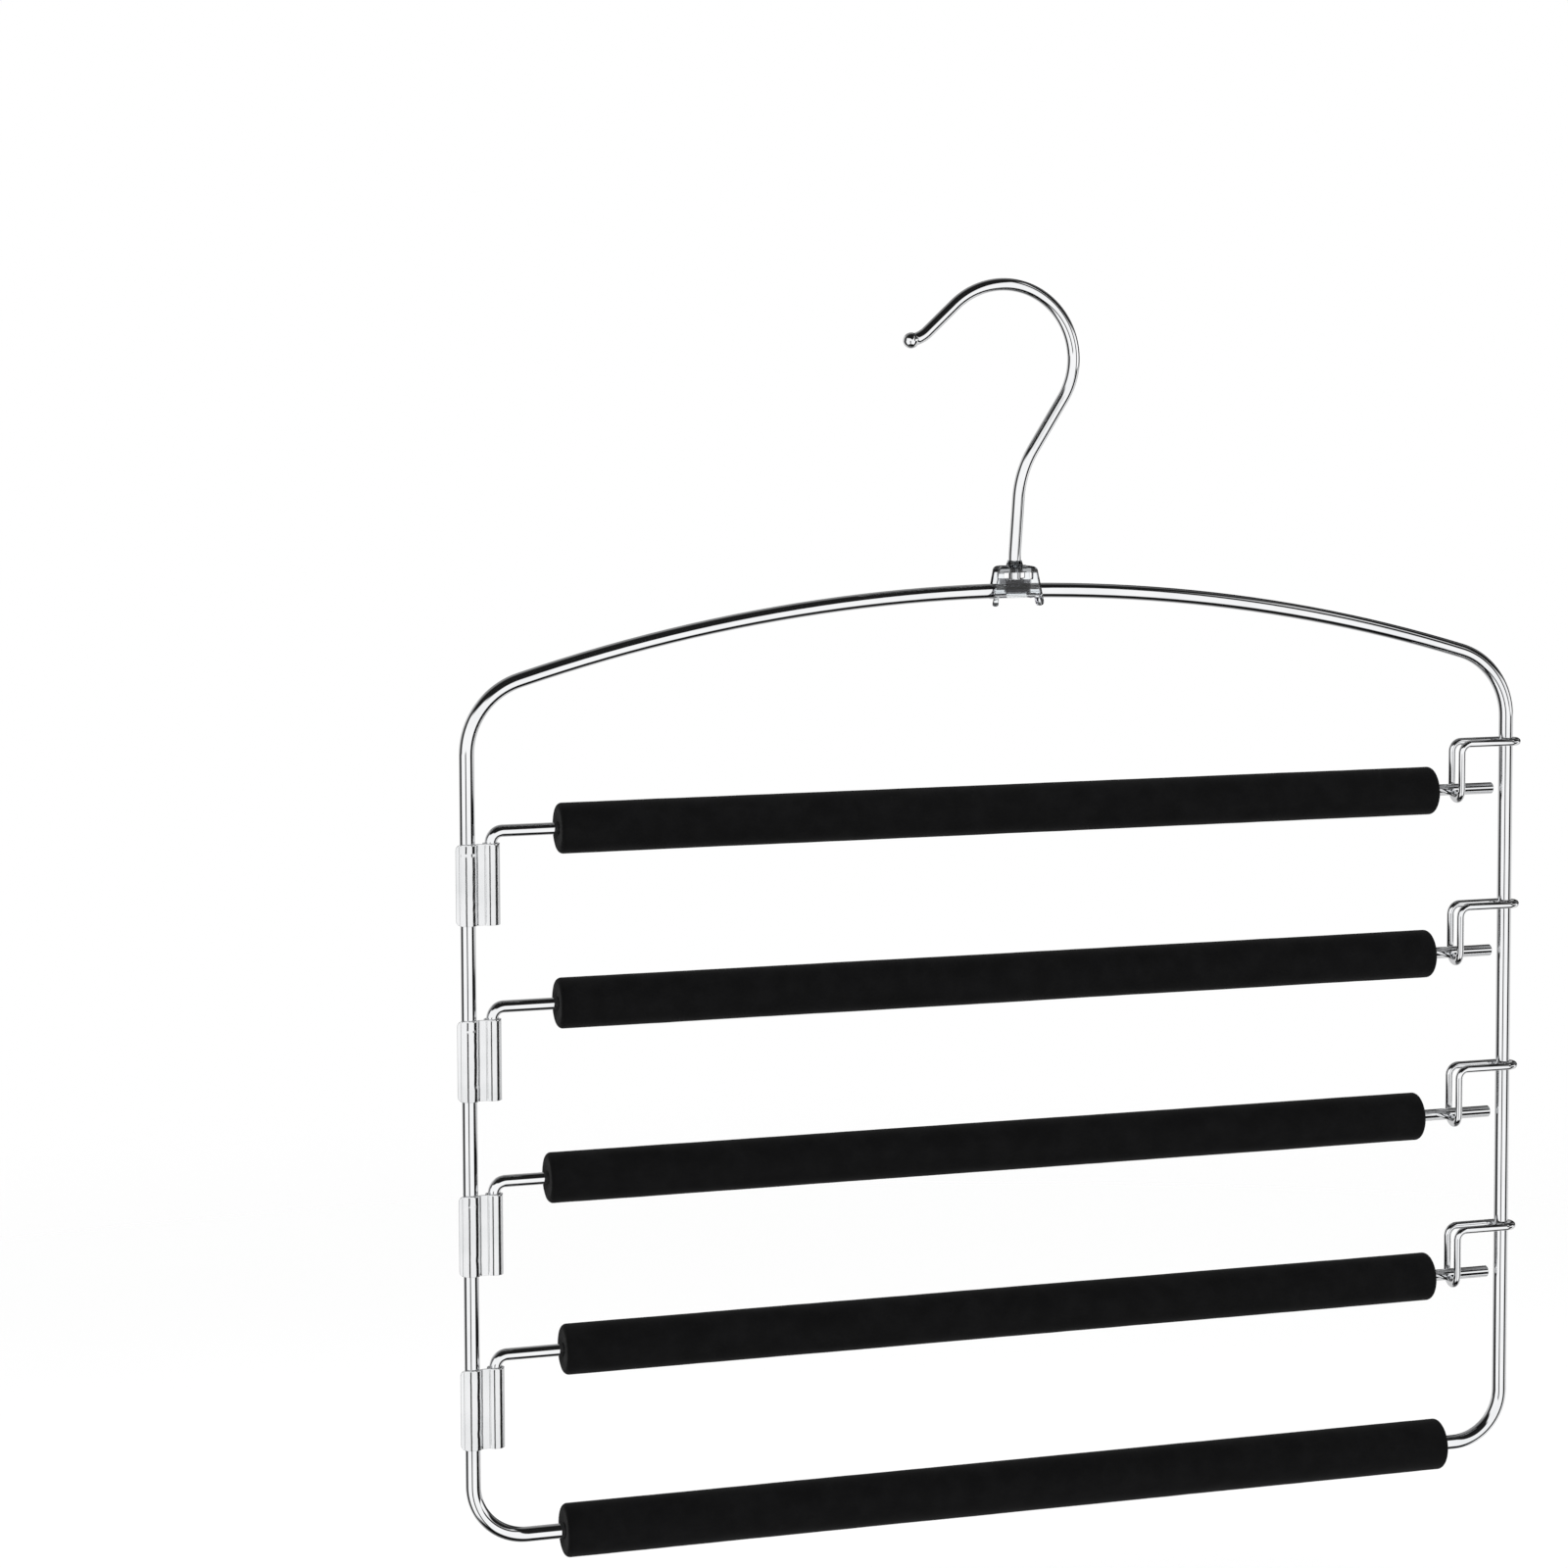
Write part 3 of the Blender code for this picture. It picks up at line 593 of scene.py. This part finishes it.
# %% Bend the catches
CATCH_REACH = 0.0190
CATCH_RISE = 0.0165
CATCH_BEND_RADIUS = 0.0034
CATCH_STEP = math.radians(7.5)
catch_half = FRAME_WIRE / 2 + GAP + CATCH_WIRE / 2
drop = CATCH_RISE - CATCH_BEND_RADIUS + ARM_WIRE / 2 + GAP + CATCH_WIRE / 2 - catch_half
for tier in TIERS:
    start = Vector((MIDDLE.x + HALF_WIDTH, -catch_half, arm_height[tier] + CATCH_RISE))
    line = BentLine(start, -X_AXIS).run(CATCH_REACH - CATCH_BEND_RADIUS)
    line.bend(CATCH_BEND_RADIUS, math.pi / 2, -Y_AXIS, CATCH_STEP).run(drop)
    line.bend(catch_half, math.pi, X_AXIS, CATCH_STEP).run(drop)
    line.bend(CATCH_BEND_RADIUS, math.pi / 2, Y_AXIS, CATCH_STEP)
    line.run(CATCH_REACH - CATCH_BEND_RADIUS)
    line.bend(catch_half, math.pi, -Z_AXIS, CATCH_STEP)
    catch = draw_wire("catch_loop_%d" % tier, line.points[:-1], CATCH_WIRE, WIRE_CHROME,
                      closed=True, facets=24)
    hand_over(catch, "frame", "chrome", "arm_catch_%d" % tier)
print("catches bent")

# %% [markdown]
# ## The hook
# The stem has a small upset head inside the clip, so the hook turns but can't pull
# out. The wire leans, knees to the side, rounds the crown and ends in a ball. Head and
# ball are the same wire drawn with another thickness at some points of its line: the
# head ends in a tiny step, and the ball swells and closes over a row of rings.

# %% Bend the hook
CLIP_RISE = 0.0084
CLIP_NECK_HEIGHT = 0.0020
HEAD, HEAD_THICKNESS = 0.0056, 0.0010
HEAD_CLEARANCE = 0.0005
HEAD_STEP = 0.00002
LEAN_RADIUS, LEAN, LEAN_RUN = 0.0400, math.radians(4), 0.0182
KNEE_RADIUS, KNEE, KNEE_RUN = 0.0360, math.radians(28), 0.0200
CROWN_RADIUS, CROWN, CROWN_RUN = 0.0253, math.radians(165), 0.0135
POINT_RADIUS, POINT = 0.0100, math.radians(27)
BALL, BALL_RINGS, BALL_CLOSED = 0.0054, 18, 0.985
clip_low, clip_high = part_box("top_clip")
ARCH_TOP = Vector(((clip_low.x + clip_high.x) / 2, 0,
                   clip_high.z - CLIP_RISE - CLIP_NECK_HEIGHT))
head_foot = FRAME_WIRE / 2 + HEAD_CLEARANCE
line = BentLine(ARCH_TOP + Z_AXIS * head_foot, Z_AXIS).run(HEAD_THICKNESS).run(HEAD_STEP)
line.run(CLIP_RISE + CLIP_NECK_HEIGHT - head_foot - HEAD_THICKNESS - HEAD_STEP)
line.bend(LEAN_RADIUS, LEAN, Y_AXIS, math.radians(1)).run(LEAN_RUN)
line.bend(KNEE_RADIUS, KNEE, Y_AXIS, math.radians(2)).run(KNEE_RUN)
line.bend(CROWN_RADIUS, CROWN, -Y_AXIS, math.radians(3)).run(CROWN_RUN)
line.bend(POINT_RADIUS, POINT, Y_AXIS)
swell = [HEAD / HOOK_WIRE] * 2 + [1.0] * (len(line.points) - 2)
enter = math.asin(HOOK_WIRE / BALL)
ball_middle = line.points[-1] + line.heading * BALL / 2 * math.cos(enter)
for number in range(1, BALL_RINGS + 1):
    angle = enter + (math.pi - enter) * BALL_CLOSED * number / BALL_RINGS
    line.points.append(ball_middle - line.heading * BALL / 2 * math.cos(angle))
    swell.append(BALL * math.sin(angle) / HOOK_WIRE)
hook_wire = draw_wire("hook_wire", line.points, HOOK_WIRE, WIRE_CHROME, swell=swell)
hand_over(hook_wire, "hook", "chrome", "hook")
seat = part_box("hook")[1].z - max(vertex.co.z for vertex in hook_wire.data.vertices)
print("hook crown against the packed one:", round(seat * 1e6), "micrometres")

# %% [markdown]
# ## The hinge leaves
# A leaf is 0.6 mm sheet. It is pressed over the front of the side wire, so that the wire
# shows through it as a ridge, runs on flat, and is rolled round the arm's leg. The press
# tool leaves its marks: a nip across the ridge near the top and a slow wave down its
# flank. A solid block could be carved to this shape. But a sheet is the same all over, so
# it is drawn as a thin surface, dented, and only then given its thickness and its
# slightly broken edges.

# %% Set out the leaf seen from above
SHEET = 0.0006
LEAF_HEIGHT = 0.0268
LEAF_DROP = 0.0039
LEAF_CORNER = 0.0018
LEAF_RIM = 0.0009
FLAT_DEPTH = 0.0014
LEAF_BEND = 0.0010
ROLL_CLOSE = math.radians(244)
LEAF_STEP = math.radians(4)
RIM_STEPS, FLAT_STEPS = 8, 4
HINGE_OFFSET = HINGE_X - MIDDLE.x + HALF_WIDTH
RIDGE_RADIUS = FRAME_WIRE / 2 + GAP + SHEET / 2
ROLL_RADIUS = ARM_WIRE / 2 + GAP + SHEET / 2


def leaf_line():
    """Middle line of the sheet from above, about the arm's leg."""
    ridge_rise, roll_rise = (math.acos((FLAT_DEPTH + LEAF_BEND) / (radius + LEAF_BEND))
                             for radius in (RIDGE_RADIUS, ROLL_RADIUS))
    ridge_run = (RIDGE_RADIUS + LEAF_BEND) * math.sin(ridge_rise)
    roll_run = (ROLL_RADIUS + LEAF_BEND) * math.sin(roll_rise)
    line = BentLine((-HINGE_OFFSET - ridge_run - LEAF_RIM, -FLAT_DEPTH, 0), X_AXIS)
    for _ in range(RIM_STEPS):
        line.run(LEAF_RIM / RIM_STEPS)
    line.bend(LEAF_BEND, ridge_rise, -Z_AXIS, 2 * LEAF_STEP)
    line.bend(RIDGE_RADIUS, 2 * ridge_rise, Z_AXIS, LEAF_STEP)
    line.bend(LEAF_BEND, ridge_rise, -Z_AXIS, 2 * LEAF_STEP)
    flat = HINGE_OFFSET - ridge_run - roll_run
    for _ in range(FLAT_STEPS):
        line.run(flat / FLAT_STEPS)
    line.bend(LEAF_BEND, roll_rise, -Z_AXIS, 2 * LEAF_STEP)
    return line.bend(ROLL_RADIUS, roll_rise + ROLL_CLOSE, Z_AXIS, LEAF_STEP).points


print("leaf line:", len(leaf_line()), "points")

# %% Press the leaves
RIDGE_HALF = 0.0026
FLANK_ASIDE, FLANK_HALF = 0.0021, 0.0011
NIP_DOWN, NIP_HALF, NIP_DEPTH = 0.0028, 0.0007, 0.00009
FOOT_NIP_UP, FOOT_NIP_HALF, FOOT_NIP_DEPTH = 0.0055, 0.0010, 0.00010
WAVE_DEPTH, RIPPLE_DEPTH = 0.00008, 0.000010


def press_marks(tier, across, down):
    """How far the press has pushed the sheet in, at a place on the leaf."""
    on_ridge = math.exp(-((across + HINGE_OFFSET) / RIDGE_HALF) ** 2)
    flank = math.exp(-((across + HINGE_OFFSET - FLANK_ASIDE) / FLANK_HALF) ** 2)
    nip = math.exp(-((down - NIP_DOWN) / NIP_HALF) ** 2)
    foot_nip = math.exp(-((down - LEAF_HEIGHT + FOOT_NIP_UP) / FOOT_NIP_HALF) ** 2)
    wave = noise.noise(Vector((down * 260, tier * 7.3, 0)))
    ripple = noise.noise(Vector((down * 800, across * 500, tier * 3.1)))
    on_flank = foot_nip * FOOT_NIP_DEPTH + WAVE_DEPTH * wave
    return on_ridge * nip * NIP_DEPTH + flank * on_flank + RIPPLE_DEPTH * ripple


print("nips", round(NIP_DEPTH * MM, 2), "and", round(FOOT_NIP_DEPTH * MM, 2), "mm deep")

# %% Roll the leaves
LEAF_ROWS = 60
BROKEN_EDGE = 0.00012


def roll_leaf(tier):
    """One hinge leaf: a dented sheet, thickened and with its edges broken."""
    bm = bmesh.new()
    grain = bm.verts.layers.float_vector.new("wire_grain")
    points = leaf_line()
    rows = []
    gone = 0.0  # how far along the sheet the row lies
    for index, point in enumerate(points):
        before, after = points[max(0, index - 1)], points[min(len(points) - 1, index + 1)]
        gone += (point - before).length
        inward = (after - before).normalized().cross(-Z_AXIS)
        rest = max(0.0, LEAF_CORNER - gone)
        inset = LEAF_CORNER - math.sqrt(LEAF_CORNER ** 2 - rest ** 2)
        row = []
        for number in range(LEAF_ROWS + 1):
            down = inset + (LEAF_HEIGHT - 2 * inset) * number / LEAF_ROWS
            dent = press_marks(tier, point.x, down) if point.y < 0 else 0.0
            leg = Vector((HINGE_X, 0, arm_height[tier] - LEAF_DROP - down))
            spot = bm.verts.new(leg + point + inward * dent)
            spot[grain] = Vector((down * 3, gone, 0))
            row.append(spot)
        rows.append(row)
    for first, second in zip(rows, rows[1:]):
        for index in range(LEAF_ROWS):
            bm.faces.new((first[index], second[index], second[index + 1], first[index + 1]))
    bmesh.ops.recalc_face_normals(bm, faces=bm.faces)
    sheet = new_item("leaf", bm)
    sheet.data.materials.append(SHEET_CHROME)
    solid = sheet.modifiers.new("thickness", "SOLIDIFY")
    solid.thickness = SHEET
    solid.offset = 0.0
    solid.use_even_offset = True
    edge = sheet.modifiers.new("broken_edge", "BEVEL")
    edge.width = BROKEN_EDGE
    edge.segments = 2
    edge.angle_limit = SHARP
    leaf = plain_piece("hinge_leaf_%d" % tier, sheet)
    return hand_over(leaf, "frame", "chrome", "hinge_bracket_%d" % tier)


for tier in TIERS:
    leaf = roll_leaf(tier)
print("hinge leaf:", len(leaf.data.polygons), "faces")

# %% [markdown]
# ## Foam sleeves
# The sleeves are cut from a long extruded tube of closed-cell rubber foam. The outside
# has a matte skin, almost black. The cut ends show open cells, and the knife leaves the
# edge a little rounded and the face a little hollow round the wire. The cut ends are
# painted darker, partly for their open cells and partly as painted shade in the pores
# and on the end faces. A tube that was pushed on by hand is never quite round or
# straight, so its wall swells and thins.

# %% Mix the foam
SKIN_DARK, SKIN_PALE = (0.0028, 0.0028, 0.0030, 1), (0.0048, 0.0048, 0.0051, 1)
CUT_CELLS_AND_SHADE = (0.0012, 0.0012, 0.0013, 1)


def foam_finish():
    """Matte black foam: fine skin along the sleeve, open cells on its cut ends, which carry painted shade.
    """
    material, book, shader = open_finish("black_foam", Specular_IOR_Level=0.10,
                                         Sheen_Weight=0.04, Sheen_Roughness=0.4)
    place = book.make("ShaderNodeTexCoord", None, None, out="Object")
    cut = book.make("ShaderNodeAttribute", {"attribute_name": "cut_end"}, None, out="Fac")
    mottle = book.noise(place, 120.0, 4.0, 0.6)
    skin = book.noise(place, 2600.0, 3.0, 0.6)
    cells = book.make("ShaderNodeTexVoronoi", {"feature": "F1"},
                      {"Vector": place, "Scale": 1500.0})
    colour = book.blend(mottle.rising(0.3, 0.8), SKIN_DARK, SKIN_PALE)
    # Painted shade: the cut ends, and most of all the middles of their cells, are painted darker, partly for
    # the open cells and partly as shade in the pores and on the end faces.
    pores_and_shade = cut * (1.0 - cells.rising(0.1, 0.45) * 0.3)
    colour = book.blend(pores_and_shade, colour, CUT_CELLS_AND_SHADE)
    feed(book, shader, "Base Color", colour)
    feed(book, shader, "Roughness", 0.72 + 0.2 * skin)
    fine = book.make("ShaderNodeBump", None,
                     {"Strength": 0.5, "Distance": 0.00006, "Height": skin})
    open_cells = book.make("ShaderNodeBump", None, {"Strength": 0.9, "Distance": 0.0002,
                                                    "Height": cells * cut, "Normal": fine})
    feed(book, shader, "Normal", open_cells)
    return material


FOAM = foam_finish()
print("foam mixed")

# %% [markdown]
# ### Cutting the sleeves
# A sleeve is its profile turned round the wire: out across the hollow face, round the
# edge, along the skin and back the same way. A plain cylinder with bevelled ends would
# look turned on a lathe. So each ring is moved in and out by two soft noises, a long one
# for the bar and a short one for its lumps. Each point also notes how far the knife has
# cut there, so that the open cells fade out over the edge.

# %% Cut the sleeves
EDGE = 0.0017
CUT_FADES = 1.4
HOLLOW = 0.0003
RING_STEP = 0.0030
AROUND = 72
ROOM_TO_SWELL = 0.0001
LONG_SWELL, SHORT_SWELL = 0.00007, 0.00004


def sleeve_profile(length, outer, bore):
    """Points along the sleeve and their radius, with 1 where the knife has cut."""
    start = [(HOLLOW * (1 - share) ** 2, bore + (outer - EDGE - bore) * share, 1.0)
             for share in (0.0, 0.12, 0.3, 0.5, 0.7, 0.85, 1.0)]
    start += [(EDGE * (1 - math.cos(angle)), outer - EDGE * (1 - math.sin(angle)),
               max(0.0, 1.0 - angle / CUT_FADES))
              for angle in (0.2, 0.45, 0.7, 0.95, 1.2, 1.4, math.pi / 2)]
    count = max(8, int(length / RING_STEP))
    middle = [(EDGE + (length - 2 * EDGE) * number / count, outer, 0.0)
              for number in range(1, count)]
    finish = [(length - x, radius, cut) for x, radius, cut in reversed(start)]
    return start + middle + finish


def cut_sleeve(name, node, wire, seed, body):
    """Foam tube in the place of its packed stand-in."""
    low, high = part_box(node)
    outer = (high.z - low.z) / 2
    axis = (high + low) / 2
    bore = wire / 2 + GAP / 3
    bm = bmesh.new()
    cut_end = bm.verts.layers.float.new("cut_end")
    rings = []
    for x, radius, cut in sleeve_profile(high.x - low.x, outer - ROOM_TO_SWELL, bore):
        share = (radius - bore) / (outer - bore)
        ring = []
        for side in range(AROUND):
            angle = math.tau * side / AROUND
            way = Vector((0, math.cos(angle), math.sin(angle)))
            long_wave = noise.noise(Vector((x * 28, seed * 3.7, 0)) + way * 0.5)
            short_wave = noise.noise(Vector((x * 160, seed * 1.9, 5)) + way * 1.6)
            away = radius + share * (LONG_SWELL * long_wave + SHORT_SWELL * short_wave)
            point = bm.verts.new(Vector((low.x + x, axis.y, axis.z)) + way * away)
            point[cut_end] = cut
            ring.append(point)
        rings.append(ring)
    for first, second in zip(rings, rings[1:] + rings[:1]):
        for side in range(AROUND):
            other = (side + 1) % AROUND
            bm.faces.new((first[side], first[other], second[other], second[side]))
    bmesh.ops.recalc_face_normals(bm, faces=bm.faces)
    sleeve = new_item(name, bm)
    sleeve.data.shade_smooth()
    sleeve.data.materials.append(FOAM)
    hand_over(sleeve, body, "foam", node)
    return sleeve


for tier in TIERS:
    cut_sleeve("foam_arm_%d" % tier, "arm_foam_%d" % tier, ARM_WIRE, tier, "arm_%d" % tier)
sleeve = cut_sleeve("foam_bottom", "bottom_foam", FRAME_WIRE, 5, "frame")
print("sleeve:", len(sleeve.data.polygons), "faces")

# %% [markdown]
# ## The clear clip
# The clip is moulded in clear plastic. A moulding has no knife edges, and light that
# enters it bends and gathers at every rounded corner. That, not its colour, is what
# makes it visible. Its finish carries painted shade by place: a grey painted shade on
# the plate over the window, a dark painted reflection of the frame wire on the seat over
# it, and painted dark outlines on the ends of the walls. Places are measured from the
# middle of the arch's top.

# %% Mix the clear plastic
WINDOW_HALF = 0.0044
WINDOW_FOOT, WINDOW_TOP = 0.0039, 0.0062
# NECK_HALF and the SEAT sizes only place painted shade and a painted reflection on the clip.
NECK_HALF = (0.0032, 0.0040)
SEAT_HALF, SEAT_FOOT, SEAT_TOP = 0.0043, -0.0009, 0.0036
SOFT = 0.0002


def clear_finish():
    """Clear plastic with faint scuffs, painted shade on its plate and wall ends, and a painted reflection on
    its seat.
    """
    material, book, shader = open_finish("clear_plastic", Transmission_Weight=1.0, IOR=1.49)
    place = book.make("ShaderNodeTexCoord", None, None, out="Object")
    flow = book.noise(book.stretched(place, (300.0, 300.0, 90.0)), 1.0, 2.0)
    scuffs = book.noise(book.stretched(place, (900.0, 900.0, 200.0)), 1.0, 4.0, 0.7)
    sideways = book.make("ShaderNodeSeparateXYZ", None, {0: place.of("Normal")})
    spot = book.make("ShaderNodeSeparateXYZ", None, {0: place})
    aside = abs(spot - ARCH_TOP.x)
    height = spot.of("Z") - ARCH_TOP.z
    # Painted shade: faces at the wall ends that turn sideways or up go near black as outlines, the plate
    # over the window goes grey, and the seat over the frame wire goes dark as a painted reflection of the
    # wire.
    ends = (abs(sideways) + sideways.of("Z").rising(0.3, 0.7)) * aside.rising(*NECK_HALF)
    painted_plate_shade = height.rising(WINDOW_TOP - SOFT, WINDOW_TOP + 2 * SOFT)
    painted_seat_reflection = height.rising(SEAT_FOOT, SEAT_FOOT + SOFT)
    painted_seat_reflection = painted_seat_reflection * (1.0 - height.rising(SEAT_TOP, SEAT_TOP + SOFT))
    painted_seat_reflection = painted_seat_reflection * (1.0 - aside.rising(SEAT_HALF, SEAT_HALF + SOFT))
    colour = book.blend(flow, (0.93, 0.95, 0.96, 1), (0.86, 0.89, 0.91, 1))
    colour = book.blend(painted_plate_shade, colour, (0.30, 0.31, 0.32, 1))
    colour = book.blend(painted_seat_reflection, colour, (0.14, 0.14, 0.15, 1))
    colour = book.blend(ends.rising(0.25, 0.75), colour, (0.02, 0.02, 0.024, 1))
    feed(book, shader, "Base Color", colour)
    feed(book, shader, "Roughness", 0.02 + 0.12 * scuffs.rising(0.55, 0.8))
    bump = book.make("ShaderNodeBump", None,
                     {"Strength": 0.5, "Distance": 0.00003, "Height": flow})
    feed(book, shader, "Normal", bump)
    return material


CLEAR = clear_finish()
print("clear plastic mixed")

# %% [markdown]
# ### Moulding the clip
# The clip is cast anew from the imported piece: the solid is filled with small cells and
# its skin is smoothed over them, which rounds every corner alike. The work is done at
# a hundred times its size, because so small a piece would suffer from rounding. Last,
# the front wall, which carries the claws, is spread sideways and the back drawn in,
# both from the barrel round the stem outwards.

# %% Mould the clip
ENLARGED = 100.0
MERGE = 0.000002
NECK_SHARE = 0.80
NECK_BORE = 0.62 * HOOK_WIRE
CUTTER_DEPTH = 0.02
CELL = 0.00010
SMOOTH_TURNS = 24
BARREL_HALF = 0.0026
FRONT_GAIN, REAR_GAIN = 1.46, 0.71
SPREAD_DEPTH = 0.0080


def window_cutter():
    """Tool that opens the slot between the plate and the snap walls."""
    bm = bmesh.new()
    bmesh.ops.create_cube(bm, size=1.0)
    height = WINDOW_TOP - WINDOW_FOOT
    middle = (WINDOW_TOP + WINDOW_FOOT) / 2
    for corner in bm.verts:
        corner.co = ENLARGED * Vector((corner.co.x * 2 * WINDOW_HALF, corner.co.y * CUTTER_DEPTH,
                                       corner.co.z * height + middle))
    return new_item("window", bm)


def spread(spot):
    """Spot moved out sideways at the clip's front and in at its back."""
    back = min(1.0, max(0.0, 0.5 + spot.y / SPREAD_DEPTH))
    gain = FRONT_GAIN + (REAR_GAIN - FRONT_GAIN) * back
    beyond = max(0.0, abs(spot.x) - BARREL_HALF)
    return spot + Vector((math.copysign(beyond * (gain - 1.0), spot.x), 0.0, 0.0))


def mould_clip():
    """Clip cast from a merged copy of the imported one: slim neck, a window, soft corners."""
    bm = bmesh.new()
    bm.from_mesh(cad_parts["top_clip"].data)
    bmesh.ops.remove_doubles(bm, verts=bm.verts, dist=MERGE)
    for corner in bm.verts:
        spot = corner.co - ARCH_TOP
        reach = math.hypot(spot.x, spot.y)
        if spot.z > CLIP_RISE - GAP / 3 and NECK_BORE < reach < CLIP_RISE / 2:
            spot.x, spot.y = spot.x * NECK_SHARE, spot.y * NECK_SHARE
        corner.co = spot * ENLARGED
    source = new_item("clip", bm)
    tool = window_cutter()
    window = source.modifiers.new("window", "BOOLEAN")
    window.object = tool
    window.solver = "EXACT"
    cast = source.modifiers.new("cast", "REMESH")
    cast.mode = "VOXEL"
    cast.voxel_size = ENLARGED * CELL
    soften = source.modifiers.new("soften", "SMOOTH")
    soften.factor = 0.5
    soften.iterations = SMOOTH_TURNS
    clip = plain_piece("snap_clip", source)
    bpy.data.objects.remove(tool)
    for corner in clip.data.vertices:
        corner.co = spread(corner.co / ENLARGED) + ARCH_TOP
    clip.data.materials.append(CLEAR)
    return hand_over(clip, "frame", "clear_plastic", "top_clip")


clip = mould_clip()
print("clip:", len(clip.data.polygons), "faces")

# %% [markdown]
# ## Last look
# The dressed hanger has to stay inside the imported one's box. Both boxes are kept, and
# the dressed hanger's size is printed, as the packed one's was at the start.

# %% Measure the dressed hanger
boxes = {"cad": [list(corner) for corner in cad_box], "visual": [list(corner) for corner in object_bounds()]}
sides = [round(MM * (high - low), 1) for low, high in zip(*boxes["visual"])]
print("dressed hanger:", sides, "mm")
